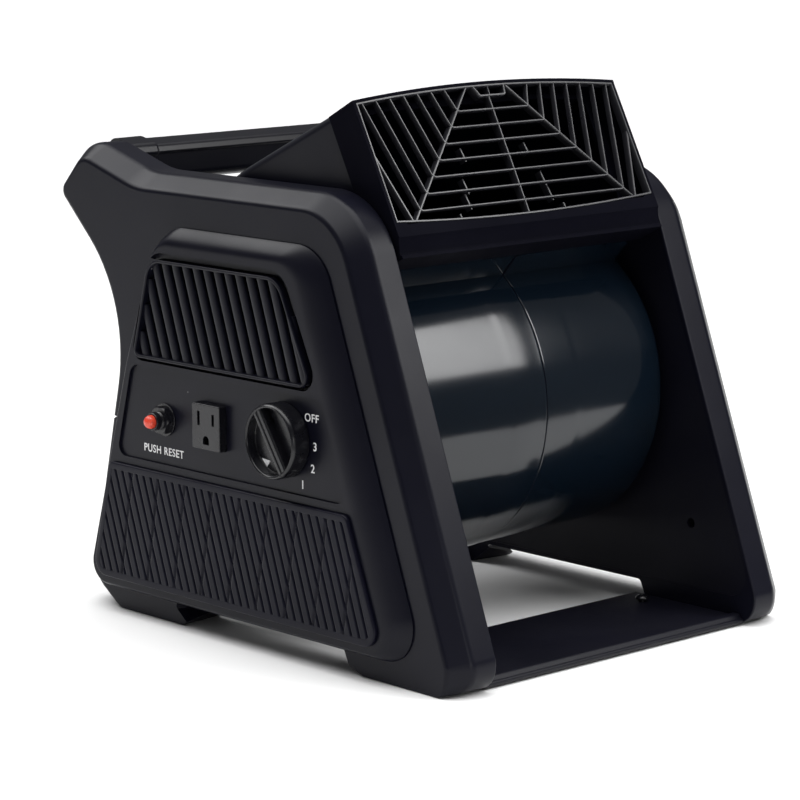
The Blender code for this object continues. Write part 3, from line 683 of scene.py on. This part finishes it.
def lower_pad(side):
    name = SIDE_NAMES[side]
    outline = pad_outline()
    field = grown(outline, -3.6)
    pitch, rise = 0.55, 1.15
    bm = bmesh.new()
    verts = {}

    def vert(i, k):
        if (i, k) not in verts:
            z = 20 + k * rise
            y = i * pitch + 0.338 * (z - 55)
            verts[i, k] = bm.verts.new((side * (PAD_FACE - 0.12 - pad_depth(y, z)), y, z))
        return verts[i, k]

    for k in range(0, 62):
        z = 20 + (k + 0.5) * rise
        for i in range(-280, 280):
            y = (i + 0.5) * pitch + 0.338 * (z - 55)
            if inside(Vector((y, z)), field):
                bm.faces.new((vert(i, k), vert(i + 1, k), vert(i + 1, k + 1), vert(i, k + 1)))
    edge = [(-5, 139.25, 0), (0, 139.25, 0), (0, PAD_FACE, 1.0), (-4.0, PAD_FACE, 0.3), (-4.3, 140.2, 0)]
    rim_into(bm, side, outline, rounded_path(edge, 5))
    pad = object_from(name + "_lower_pad_skin", bm)
    for face in pad.data.polygons:
        if face.normal.x * side < -0.5 and abs(face.center.x - MIDDLE.x) > 0.1405:
            face.flip()
    return finish(pad, "frame", "pad", (name + "_lower_pad",), 60, weighted=False)


# Frame details


def base_plate(side, end):
    """Half of a base plate. The front one has a raised and rounded lip along its outer edge."""
    name = f"{end}_base_{SIDE_NAMES[side]}"
    if end == "front":
        corners = [(-166, 0.8, 2.2), (-81, 0.8, 0.8), (-81, 5.2, 0.8), (-157.5, 5.2, 0.6), (-158.2, 6.5, 0.6)]
        corners += [(-163.0, 6.5, 1.5), (-164.4, 4.3, 0.3), (-166, 4.0, 1.2)]
        hole_y = FRONT_SCREW
    else:
        corners = [(62, 0.8, 0.8), (120, 0.8, 2.2), (120, 6.5, 2.2), (62, 6.5, 0.8)]
        hole_y = REAR_SCREW
    plate = slab(name + "_skin", rounded(corners, 6), 0.12 if side == RIGHT else 0.06, side * (RIM - 0.1))
    at = Matrix.Translation((side * SCREW_ACROSS, hole_y, 5))
    combine(plate, turned("hole", [(0, -3), (2.3, -3), (2.3, 5), (0, 5)], at, 24))
    soften(plate, 0.25, 2, 60)
    return finish(plate, "frame", "wall", (name,), 30)


def base_screw(side, end):
    """A pan head with a cross recess."""
    name = f"{end}_base_screw_{SIDE_NAMES[side]}"
    y = FRONT_SCREW if end == "front" else REAR_SCREW
    profile = [(0, 9.2), (1.6, 9.1), (2.9, 8.7), (3.7, 8.0), (4.0, 7.3), (3.9, 6.75)]
    profile += [(2, 6.7), (2, 2.8), (0, 2.8)]
    at = Matrix.Translation((side * SCREW_ACROSS, y, 0))
    screw = turned(name + "_skin", profile, at, 40)
    turn = at @ Matrix.Rotation(0.5 + side, 4, "Z")
    combine(screw, block("recess_a", (-2.3, 2.3), (-0.45, 0.45), (7.9, 11), turn))
    combine(screw, block("recess_b", (-0.45, 0.45), (-2.3, 2.3), (7.9, 11), turn))
    return finish(screw, "frame", "gloss", (name,), 30)


def rubber_foot(side, end):
    """A pad with shallow cross grooves in its tread."""
    name = f"{end}_foot_{SIDE_NAMES[side]}"
    y_from, y_to = FRONT_FOOT if end == "front" else REAR_FOOT
    count = 7
    step = (y_to - y_from) / count
    outline = []
    for i in range(count):
        low = y_from + i * step
        outline += [Vector((low + 0.4, 0)), Vector((low + step - 0.9, 0)), Vector((low + step - 0.6, 0.8))]
        outline += [Vector((low + step, 0.8))] if i < count - 1 else []
    outline += [Vector((y_to, 0.5)), Vector((y_to, 3)), Vector((y_from, 3)), Vector((y_from, 0.4))]
    foot = slab(name + "_skin", outline, side * 110, side * 125)
    return finish(foot, "frame", "rubber", (name,), 30)


def carry_handle():
    """A D-shaped bar with a crease along its front, and a fuller collar at each end."""
    corners = [(133, 246.6, 6), (159, 246.6, 9), (159.5, 262, 12), (149, 272.4, 8), (133.5, 269.0, 3.5)]
    corners += [(131.8, 264.5, 1.2), (133, 263.0, 1.0)]
    grip = rounded(corners, 8)
    end, step = RIM - 0.1, RIM - 19
    bm = bmesh.new()
    path = [(end, 1.4), (step + 0.9, 1.5), (step + 0.3, 1.2), (step, 0.6), (step - 0.8, 0.1), (step - 1.6, 0)]
    shape = [(-x, g) for x, g in path] + [(x, g) for x, g in reversed(path)]
    loft_into(bm, [[(x, p.x, p.y) for p in grown(grip, g)] for x, g in shape])
    handle = object_from("carry_handle_skin", bm)
    return finish(handle, "frame", "grip", ("carry_handle",), 35)


def cord_bush():
    """A ribbed strain-relief bush in the rear rim."""
    profile = [(0, 3), (3.4, 3), (3.6, 10), (4.9, 10), (5.2, 9.7), (5.2, 8.9), (4.9, 8.6), (5.8, 8.4)]
    profile += [(6.0, 8.0), (6.0, 7.4), (7.6, 7.2), (8.0, 6.8), (8.0, 6.5), (5.5, 6.3), (5.5, -9), (0, -9)]
    at = Matrix.Translation(BUSH) @ Matrix.Rotation(-math.pi / 2, 4, "X")
    bush = turned("cord_bush_skin", profile, at, 48)
    return finish(bush, "frame", "rubber", ("cord_bush",), 30)


# Controls


def receptacle():
    y, z = RECEPTACLE
    top = 142.5
    face = rounded_box(y, z, 12.4, 13.1, 1.2, 6)
    edge = rounded_path([(0, PANEL_FACE + 0.1, 0), (-0.3, top, 0.5), (-1.0, top, 0)], 5)
    bm = bmesh.new()
    rim_into(bm, LEFT, face, edge, closed=False)
    outlet = object_from("power_receptacle_skin", bm)
    inner = rounded_box(y, z, 11.3, 12.1, 1, 4)
    combine(outlet, slab("outlet_body", inner, -128, -PANEL_FACE - 1), "UNION")
    for across, height in ((y - 6.35, 6.5), (y + 6.35, 8.0)):
        spans = [(across - 1.05, across + 1.05), (z + 4.6 - height / 2, z + 4.6 + height / 2)]
        combine(outlet, block("blade_slot", (-134, -150), *spans))
    low, high = z - 9.9, z - 5.0
    ground = [(y - 2.6, low, 0.5), (y + 2.6, low, 0.5), (y + 2.6, high, 2.5), (y - 2.6, high, 2.5)]
    combine(outlet, slab("ground_slot", rounded(ground, 8), -134, -150))
    soften(outlet, 0.22, 2, 50)
    return finish(outlet, "frame", "gloss", ("power_receptacle",), 35)


def receptacle_wells():
    """Painted shade: near-black floors inside the outlet's slots stand for the shade deep in them."""
    y, z = RECEPTACLE
    wells = block("receptacle_wells", (-133.6, -136.5), (y - 8.5, y + 8.5), (z - 11, z + 9.4))
    soften(wells, 0.3, 2, 50)
    return finish(wells, "frame", "dark")


def breaker_neck():
    """The breaker's neck, with a few turns of thread and a smooth collar round the button."""
    profile = [(4.3, 138.2), (4.3, 147.5), (5.0, 147.5), (5.3, 147.1), (5.3, 144.6)]
    for k in range(6):
        x = 144.2 - k * 1.0
        profile += [(5.25, x), (4.85, x - 0.5)]
    profile += [(5.2, 137.9), (5.2, 133.5), (4.3, 133.5)]
    bm = bmesh.new()
    spin_into(bm, profile, 64, along_x(LEFT, BREAKER))
    neck = object_from("circuit_breaker_neck", bm)
    return finish(neck, "frame", "gloss", sharp=40)


def breaker_body():
    body = block("circuit_breaker_skin", (-112, -133.4), (52, 68), (113, 129))
    soften(body, 1.0, 3, 40)
    return finish(body, "frame", "gloss", ("circuit_breaker",))


def breaker_nut():
    """A hexagon nut with chamfered corners over a thin washer."""
    nut = rod("breaker_nut_skin", 8.5, -PANEL_FACE - 0.9, -PANEL_FACE - 5.0, BREAKER, 6)
    cone = [(0, 0), (8.9, 0), (8.9, 3.0), (7.5, 4.6), (0, 4.6)]
    combine(nut, turned("nut_cone", cone, along_x(LEFT, BREAKER, PANEL_FACE + 0.5), 64), "INTERSECT")
    washer = [(0, 0.1), (9.4, 0.1), (9.5, 0.6), (9.3, 1.1), (0, 1.1)]
    combine(nut, turned("nut_washer", washer, along_x(LEFT, BREAKER, PANEL_FACE), 64), "UNION")
    combine(nut, rod("nut_bore", 5.35, -135, -146, BREAKER))
    soften(nut, 0.25, 2, 40)
    return finish(nut, "frame", "gloss", ("breaker_nut",), 35)


def reset_button():
    profile = [(0, 151.9), (1.5, 151.7), (2.7, 151.1), (3.4, 150.2), (3.8, 149.0), (3.9, 147.8)]
    profile += [(3.9, 141.0), (0, 141.0)]
    button = turned("reset_button_skin", profile, along_x(LEFT, BREAKER), 48)
    return finish(button, "button", "red", ("reset_button",), 50)


def speed_knob():
    """A knob with a rolled rim, two sunk half-moons and a grip bar between them."""
    low, top, floor = PANEL_FACE + 0.4, KNOB_TOP, KNOB_FLOOR
    profile = [(0, floor), (17.6, floor), (18.1, 144.2), (18.5, top - 0.9), (18.9, top - 0.25), (19.5, top)]
    profile += [(20.1, top - 0.3), (20.7, top - 1.2), (21.0, top - 2.6), (21.0, low + 0.6)]
    profile += [(20.6, low), (0, low)]
    knob = turned("speed_knob_skin", profile, along_x(LEFT, KNOB), 128)
    lean = about(KNOB, math.radians(-34))
    section = [(-4.2, 141.5, 0), (-3.3, top - 0.5, 1.2), (-0.9, top - 0.5, 0.4), (-0.6, top - 1.1, 0)]
    section = rounded_path(section, 4)
    half = section + [Vector((-p.x, p.y)) for p in reversed(section)]
    bm = bmesh.new()
    loft_into(bm, [[(-p.y, p.x, z) for p in half] for z in (-18.6, -16.5, 0, 16.5, 18.6)])
    bar = object_from("grip_bar", bm, lean)
    combine(knob, bar, "UNION")
    combine(knob, rod("spindle_bore", 3.3, -130, -142, KNOB, 32))
    soften(knob, 0.3, 2, 45)
    return finish(knob, "knob", "gloss", ("speed_knob",), 40)


def knob_pointer():
    """The white arrow printed in the knob's lower half-moon."""
    arrow = [Vector(KNOB) + Vector(p) for p in ((7.9, -15.4), (12.2, -11.2), (5.2, -11.8))]
    pointer = slab("knob_pointer", arrow, 0.2 - KNOB_FLOOR, -0.3 - KNOB_FLOOR)
    return finish(pointer, "knob", "ink")


def lettering(name, text, y, z, height):
    """Raised print on the left panel, centred at (y, z)."""
    curve = bpy.data.curves.new(name, "FONT")
    curve.body = text
    curve.size = height * 1.5 * MM
    curve.align_x = "CENTER"
    curve.align_y = "CENTER"
    curve.offset = 0.00008
    curve.extrude = 0.00006
    curve.space_character = 1.1
    obj = new_object(name, curve)
    stand = Matrix(((0, 0, -1, 0), (-1, 0, 0, 0), (0, 1, 0, 0), (0, 0, 0, 1)))
    obj.matrix_world = Matrix.Translation(MIDDLE + Vector((-PANEL_FACE - 0.06, y, z)) * MM) @ stand
    bpy.context.view_layer.update()
    mesh = bpy.data.meshes.new_from_object(obj.evaluated_get(bpy.context.evaluated_depsgraph_get()))
    mesh.transform(obj.matrix_world)
    bpy.data.objects.remove(obj)
    return finish(new_object(name, mesh), "frame", "ink", weighted=False)


# Blower head


def scroll_outline(mouth, extra=0.0):
    duct = math.radians(65.0)
    front = arc(PIVOT, 92 + extra, math.radians(128), 1.5 * math.pi, 56)
    rear = arc((PIVOT[0], PIVOT[1] + 27), 119 + extra, -0.5 * math.pi, duct, 64)
    forward = Vector((-math.sin(duct), math.cos(duct)))
    top = rear[-1] + forward * (82 + mouth)
    floor = front[0] + Vector((-0.671, 0.742)) * (15.5 + mouth)
    return front + rear[1:] + [top, floor]


def face_matrix():
    """Places the outlet's own frame: X across, Z up the face and -Y out of it."""
    return about(FACE_CENTRE, -FACE_TILT)


def drum_inset(x, crown):
    """How far the drum is drawn in at a distance from its seam: moulding draft, and any crown at the seam."""
    return DRUM_DRAFT * x + crown * math.exp(-((x / 10) ** 2))


def scroll_half(side):
    name = SIDE_NAMES[side]
    extra, crown = (0.9, 0.5) if side == LEFT else (0.0, 0.0)
    outline, inner = scroll_outline(6, extra), grown(scroll_outline(24), -2.5)
    path = rounded_path([(DRUM_EDGE, 9, 0), (DRUM_EDGE, 2.3, 5), (30, 0.85, 0), (30, 0.85, 0)], 8)[:-1]
    path += [Vector((x, drum_inset(x, crown))) for x in (26, 22, 18, 15, 12, 9.5, 7, 5, 3, 1.6, 0.9)]
    seam = 0.15 if side == RIGHT else -0.1
    path += [Vector((0.6, drum_inset(0, crown) + 0.1)), Vector((seam, drum_inset(0, crown) + 0.7))]
    sections = [(side * p.x, grown(outline, -p.y)) for p in path]
    half = loft(name + "_scroll_skin", sections)
    hollow = loft(
        "hollow", [(side * 95.5, grown(inner, -3)), (side * 92.5, inner), (-side * 2, inner)]
    )
    combine(half, hollow)
    combine(half, block("mouth_cut", (-120, 120), (-120, BEZEL_DEPTH - 0.1), (-120, 90), face_matrix()))
    combine(half, rod("inlet_hole", 55, side * 90, side * 105, PIVOT, 96))
    finish(half, "head", "drum", (name + "_scroll",), 30)
    half.data.materials.append(M["duct"])
    half.data.materials.append(M["shell"])
    for face in half.data.polygons:
        if abs(face.normal.x) > 0.75:
            face.material_index = 2
        elif face.center.z > DUCT_START:
            face.material_index = 1
    return half


def face_edge(across, inset=0.0):
    bow = 1 - (across / FACE_HALF_WIDTH) ** 2
    return FACE_HALF_HEIGHT + 5.4 * bow - inset, -FACE_HALF_HEIGHT - 3.6 * bow + inset


def face_outline(inset=0.0, chin=0.0, steps=28):
    across = [(FACE_HALF_WIDTH - inset) * (2 * k / steps - 1) for k in range(steps + 1)]
    crown = [Vector((-x, face_edge(x, inset)[0])) for x in across]
    if chin:
        return [Vector((x, -FACE_HALF_HEIGHT - chin)) for x in (across[0], across[-1])] + crown
    return [Vector((x, face_edge(x, inset)[1])) for x in across] + crown


STAND = Matrix(((0, 1, 0, 0), (-1, 0, 0, 0), (0, 0, 1, 0), (0, 0, 0, 1)))


def front_prism(name, outline, out_from, out_to):
    return slab(name, outline, out_from, out_to, face_matrix() @ STAND)


def outlet_bezel():
    """The nozzle's front frame. Its chin steps back under the grille and ends in a thin flange."""
    chin = -FACE_HALF_HEIGHT - 18.0
    back = BEZEL_DEPTH - 0.1
    side = [(0, 46), (0, -37.4), (0, -43.2), (1.1, -44.6), (3.4, -50.6), (3.6, chin + 2.4), (2.6, chin + 1.9)]
    side += [(2.6, chin), (back, chin), (back, 46)]
    side = [Vector(p) for p in side]
    bezel = slab("outlet_bezel_skin", side, -FACE_HALF_WIDTH, FACE_HALF_WIDTH, face_matrix())
    combine(bezel, front_prism("limits", face_outline(0, 18.0), -40, 10), "INTERSECT")
    combine(bezel, front_prism("opening", face_outline(1.5), -BEZEL_DEPTH + 3.2, 10))
    throat = [Vector(p) for p in ((-92, -36.5), (92, -36.5), (92, 33.0), (60, 36.2), (-60, 36.2), (-92, 33.0))]
    combine(bezel, front_prism("throat", throat, -40, 10))
    soften(bezel, 0.5, 3, 30)
    return finish(bezel, "head", "bezel", ("outlet_bezel",), 32)


def sweep_into(bm, path, width, near, far, closed=False):
    """Sweeps a bar with a rounded nose along a flat (across, up) path in the outlet's face."""
    path = [Vector(p) for p in path]
    half, nose = width / 2, 0.45
    section = [(-half * 0.8, far), (-half, near + nose), (-half + nose * 0.8, near)]
    section += [(half - nose * 0.8, near), (half, near + nose), (half * 0.8, far)]
    rings = []
    last = len(path) - 1
    for i, point in enumerate(path):
        ways = [point - path[i - 1]] if i or closed else []
        ways += [path[(i + 1) % len(path)] - point] if i < last or closed else []
        normals = [Vector((-w.y, w.x)).normalized() for w in ways]
        side = sum(normals, Vector((0, 0)))
        side *= len(normals) / side.length_squared
        rings.append([(point.x + side.x * a, d, point.y + side.y * a) for a, d in section])
    loft_into(bm, rings, closed=closed)


def outlet_grille():
    """The guard: a thin border, fanned side bars that turn into level ones, diagonals, a rib and a tab."""
    bm = bmesh.new()
    sweep_into(bm, face_outline(2.4), 1.4, -0.2, 5.0, closed=True)
    border = 2.6
    top, low = face_edge(0, border)
    sweep_into(bm, [(0, 33.6), (0, low)], 1.3, 0.6, 5.6)
    sweep_into(bm, [(1.5, top), (1.2, 33.6)], 1.1, 0.6, 4.6)
    for side in (LEFT, RIGHT):
        diagonal = [(side * 15, face_edge(15, border)[0]), (side * 84.5, face_edge(84.5, border)[1])]
        sweep_into(bm, diagonal, 1.3, 0.4, 5.3)
        outer = [(side * 98.2, 4.6), (side * 86.4, face_edge(86.4, border)[1])]
        sweep_into(bm, outer, 1.5, 0.5, 4.6)
    for i in range(7):
        level, corner, head = 25.5 - 9.2 * i, 27.2 + 8.6 * i, 32 + 10.4 * i
        reach = face_edge(head, border)[0]
        path = [(-head, reach, 0), (-corner, level, 3.2), (corner, level, 1.6), (head, reach, 0)]
        sweep_into(bm, rounded_path(path, 5), 1.2, 0.3, 3.8)
    tab_top = face_edge(10, border)[0]
    tab = [(-10, tab_top, 0), (-6.6, 33.6, 1), (12.6, 33.6, 1), (13.6, tab_top, 0)]
    sweep_into(bm, rounded_path(tab, 3), 1.4, 0.1, 6)
    stubs = ((-28.5, 6, -2), (-34.5, -12, -21), (-36.5, -21, -30), (-45, -32, -38.5))
    stubs += ((20.6, 6, -1), (25.6, -12, -21), (27, -21, -30), (35, -32, -38.5))
    for u, v_high, v_low in stubs:
        sweep_into(bm, [(u - 0.6, v_high), (u + 0.6, v_low)], 1.5, 6.5, 11)
    grille = object_from("outlet_grille_skin", bm, face_matrix())
    return finish(grille, "head", "guard", ("outlet_grille",), 50, weighted=False)


def inlet_ring(side):
    profile = [(52, 108), (58.5, 108), (58.5, 100.4), (60.0, 100.2), (60.0, 98.4), (54.6, 98.3), (54.6, 90.6)]
    profile += [(54.0, 90.0), (52.9, 89.9), (52.2, 90.4), (52, 91.5)]
    ring = turned(SIDE_NAMES[side] + "_inlet_ring_skin", profile, along_x(side, PIVOT), 96)
    return finish(ring, "head", "gloss", (SIDE_NAMES[side] + "_inlet_ring",), 35)


def inlet_guard(side):
    """Rings and spokes that keep fingers out of the inlet."""
    bm = bmesh.new()
    place = along_x(side, PIVOT)
    for radius in (16, 28, 40):
        spin_into(bm, [(radius + 1, 106), (radius + 1, 103), (radius - 1, 103), (radius - 1, 106)], 72, place)
    made = object_from(SIDE_NAMES[side] + "_inlet_guard", bm)
    for k in range(6):
        turn = about(PIVOT, math.radians(60 * k + 30))
        bar = block("spoke", (side * 102.6, side * 105.4), (-1.1, 1.1), (14, 52.6), turn)
        combine(made, bar, "UNION")
    return finish(made, "head", "gloss", sharp=40)


def pivot_rings(side):
    """The retainer that holds the head on its trunnion, and the friction washer that it turns against."""
    retainer = [(65, 107.5), (65, 106.1), (64.6, 105.8), (59.1, 105.8), (58.8, 106.2), (58.8, 107.5)]
    retainer += [(59.2, 107.8), (64.6, 107.8)]
    washer = [(67, 102.2), (67, 98.8), (66.5, 98.4), (61, 98.4), (60.6, 98.8), (60.6, 102.2)]
    washer += [(61, 102.6), (66.5, 102.6)]
    for part, profile, body, finish_name in (
        ("friction_washer", washer, "frame", "rubber"),
        ("pivot_retainer", retainer, "head", "steel"),
    ):
        name = f"{SIDE_NAMES[side]}_{part}"
        ring = turned(name + "_skin", profile, along_x(side, PIVOT), 96)
        finish(ring, body, finish_name, (name,), 50)


def motor():
    """A round motor with a flange joint, cooling fins round its waist and two end bells."""
    bore = 4.3
    profile = [(bore, 88), (9, 88), (12, 87), (15, 87), (17, 86.4), (37, 84.6), (40, 83)]
    profile += [(41.5, 80.5), (41.6, 76)]
    for k in range(9):
        x = 68 - k * 4.2
        profile += [(42.0, x + 1.3), (42.0, x), (40.6, x - 0.3), (40.6, x - 2.6)]
    profile += [(41.6, 29), (40.5, 26.5), (38, 25), (17, 23.2), (14, 22), (13.6, 14.6), (13, 14), (bore, 14)]
    body = turned("motor_skin", profile, along_x(RIGHT, PIVOT), 96)
    return finish(body, "head", "cast", ("motor",), 35)


def motor_bracket():
    """A clamp ring with three ribbed arms to the drum's side."""
    bm = bmesh.new()
    ring = [(47, 78.6), (47, 71.4), (46.5, 71), (42.8, 71), (42.3, 71.5), (42.3, 78.5), (42.8, 79), (46.5, 79)]
    spin_into(bm, ring, 72, along_x(RIGHT, PIVOT))
    bracket = object_from("motor_bracket_skin", bm)
    arm = [(73, 45, 0), (73, 60.3, 0), (95.2, 60.3, 0), (95.2, 57.2, 0), (78.5, 56.6, 3), (77.5, 45, 0)]
    arm = rounded_path(arm, 5)
    for i in range(3):
        turn = about(PIVOT, math.radians(90 + 120 * i))
        bm = bmesh.new()
        loft_into(bm, [[(p.x, y, p.y) for p in arm] for y in (-5, 5)])
        combine(bracket, object_from("arm", bm, turn), "UNION")
    soften(bracket, 0.4, 2, 40)
    return finish(bracket, "head", "steel", ("motor_bracket",), 35)


def motor_shaft():
    profile = [(0, 92), (3.4, 92), (4, 91.4), (4, -13.4), (3.4, -14), (0, -14)]
    shaft = turned("motor_shaft_skin", profile, along_x(RIGHT, PIVOT), 40)
    return finish(shaft, "rotor", "steel", ("motor_shaft",), 40)


def blower_wheel():
    """Many forward-curved blades between two end rings, on a dished centre disc with a hub."""
    bm = bmesh.new()
    place = along_x(RIGHT, PIVOT)
    disc = [(72.5, 1.1), (72.5, -1.1), (30, -1.1), (26, -3), (13, -4), (12.5, -12), (4.3, -12)]
    disc += [(4.3, 10), (12.5, 10), (13, 3), (26, 1), (30, 1.1)]
    spin_into(bm, disc, 96, place)
    ring = [(73.5, 3.1), (73.5, 0.4), (73, 0), (65.5, 0), (65, 0.4), (65, 3.1), (65.5, 3.5), (73, 3.5)]
    for low in (-75, 71.5):
        spin_into(bm, [(r, low + h) for r, h in ring], 96, place)
    start, end = math.radians(-75), math.radians(62)
    section = arc((68.6, 0.6), 5.2, start, end, 7) + arc((68.6, 0.6), 4.4, end, start, 7)
    for i in range(BLADE_COUNT):
        turn = about(PIVOT, 2 * math.pi * i / BLADE_COUNT)
        loft_into(bm, [[turn @ Vector((x, p.y, p.x)) for p in section] for x in (-74.6, 74.6)])
    wheel = object_from("blower_wheel_skin", bm)
    nodes = ("blower_wheel", "left_blade_cage", "right_blade_cage")
    return finish(wheel, "rotor", "gloss", nodes, 40)


def dress_hidden_nodes():
    """CAD nodes that keep their shape take a finished material."""
    kept = {"rotary_switch": "gloss", "run_capacitor": "cast", "switch_spindle": "steel"}
    for name, look in kept.items():
        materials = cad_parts[name].data.materials
        materials.clear()
        materials.append(M[look])


# Studio


def studio():
    """A pale floor under soft light. It ends in front of the machine, so the drum's middle mirrors the dark."""
    left, right, front, rear = -6.0, 6.0, -0.43, 9.0
    mesh = bpy.data.meshes.new("floor")
    corners = [(left, front, 0), (right, front, 0), (right, rear, 0), (left, rear, 0)]
    mesh.from_pydata(corners, [], [(0, 1, 2, 3)])
    floor = new_object("floor", mesh)
    pale = new_material("pale_floor", (0.86, 0.86, 0.86), 0.6, specular=0.2)
    vary_colour(pale, (0.85, 0.85, 0.85), (0.87, 0.87, 0.87), 1.5)
    mesh.materials.append(pale)
    sky()
    area_light("front_right", (-0.02, -0.1, 0.16), (45, 28), 1.2, (-0.209, 0.134), (0.7, 0.66), -21, 10.5)
    area_light("left_rear", (-0.12, 0.1, 0.25), (-163, 45), 1.6, (0, 0), (1.1, 0.8), 0, 12)
    area_light("front_left", (-0.12, -0.1, 0.15), (-16, 4), 1.3, (0, 0), (0.3, 0.3), 0, 1.8)


def sky():
    """A soft light overhead that fades out towards a dark horizon, behind a plain white backdrop."""
    world = bpy.data.worlds.new("studio")
    bpy.context.scene.world = world
    world.use_nodes = True
    place = add_node(world, "ShaderNodeTexCoord")
    split = add_node(world, "ShaderNodeSeparateXYZ")
    wire(world, place, "Generated", split, "Vector")
    fade = remap(world, split, "Z", 0.13, 4.4, 0.7, 0.98)
    fade.interpolation_type = "SMOOTHSTEP"
    seen = add_node(world, "ShaderNodeLightPath")
    mix = add_node(world, "ShaderNodeMix", B=1.0)
    wire(world, seen, "Is Camera Ray", mix, "Factor")
    wire(world, fade, "Result", mix, "A")
    background = world.node_tree.nodes["Background"]
    background.inputs["Color"].default_value = (1, 1, 1, 1)
    wire(world, mix, "Result", background, "Strength")
    bpy.context.scene.view_settings.view_transform = "Standard"


def area_light(name, target, bearing, distance, shift, size, turn, power):
    """A softbox facing a target from a bearing (azimuth, elevation), shifted and turned in its plane."""
    light = bpy.data.lights.new(name, "AREA")
    light.shape = "RECTANGLE"
    light.size, light.size_y = size
    light.energy = power
    azimuth, elevation = (math.radians(a) for a in bearing)
    level = Vector((math.sin(azimuth), -math.cos(azimuth), 0))
    way = level * math.cos(elevation) + Vector((0, 0, math.sin(elevation)))
    across = way.cross(Vector((0, 0, -1))).normalized()
    rise = way.cross(across).normalized()
    lamp = new_object(name, light)
    place = Vector(target) + way * distance + across * shift[0] + rise * shift[1]
    facing = Matrix((across, rise, across.cross(rise))).transposed().to_4x4()
    lamp.matrix_world = Matrix.Translation(place) @ facing @ Matrix.Rotation(math.radians(turn), 4, "Z")
    lamp.visible_camera = False
    return lamp


def camera():
    data = bpy.data.cameras.new("camera")
    data.sensor_width = 36
    data.lens = 141.93
    data.clip_end = 40
    view = new_object("camera", data)
    aim = Matrix.Rotation(math.radians(-42.32), 4, "Z") @ Matrix.Rotation(math.radians(90 - 10.15), 4, "X")
    aim = aim @ Matrix.Rotation(math.radians(-0.30), 4, "Z")
    view.matrix_world = Matrix.Translation(MIDDLE + Vector((-1.2259, -1.3334, 0.4472))) @ aim
    bpy.context.scene.camera = view


camera()
studio()
for each_side in (LEFT, RIGHT):
    side_housing(each_side)
    inner_wall(each_side)
    peg_well(each_side)
    side_cover(each_side)
    vent_grille(each_side)
    vent_backing(each_side)
    lower_pad(each_side)
    for plate_end in ("front", "rear"):
        base_plate(each_side, plate_end)
        base_screw(each_side, plate_end)
        rubber_foot(each_side, plate_end)
    pivot_rings(each_side)
    scroll_half(each_side)
    inlet_ring(each_side)
    inlet_guard(each_side)
carry_handle()
cord_bush()
receptacle()
receptacle_wells()
breaker_neck()
breaker_body()
breaker_nut()
reset_button()
speed_knob()
knob_pointer()
for label, body_text, at_y, at_z, tall in (
    ("mark_off", "OFF", -67.5, 138.5, 4.2),
    ("mark_3", "3", -70, 123, 4.4),
    ("mark_2", "2", -68, 110.7, 4.4),
    ("mark_1", "1", -59.5, 100.8, 4.4),
    ("mark_reset", "PUSH RESET", 62, 102.4, 4.2),
):
    lettering(label, body_text, at_y, at_z, tall)
outlet_bezel()
outlet_grille()
motor()
motor_bracket()
motor_shaft()
blower_wheel()
dress_hidden_nodes()
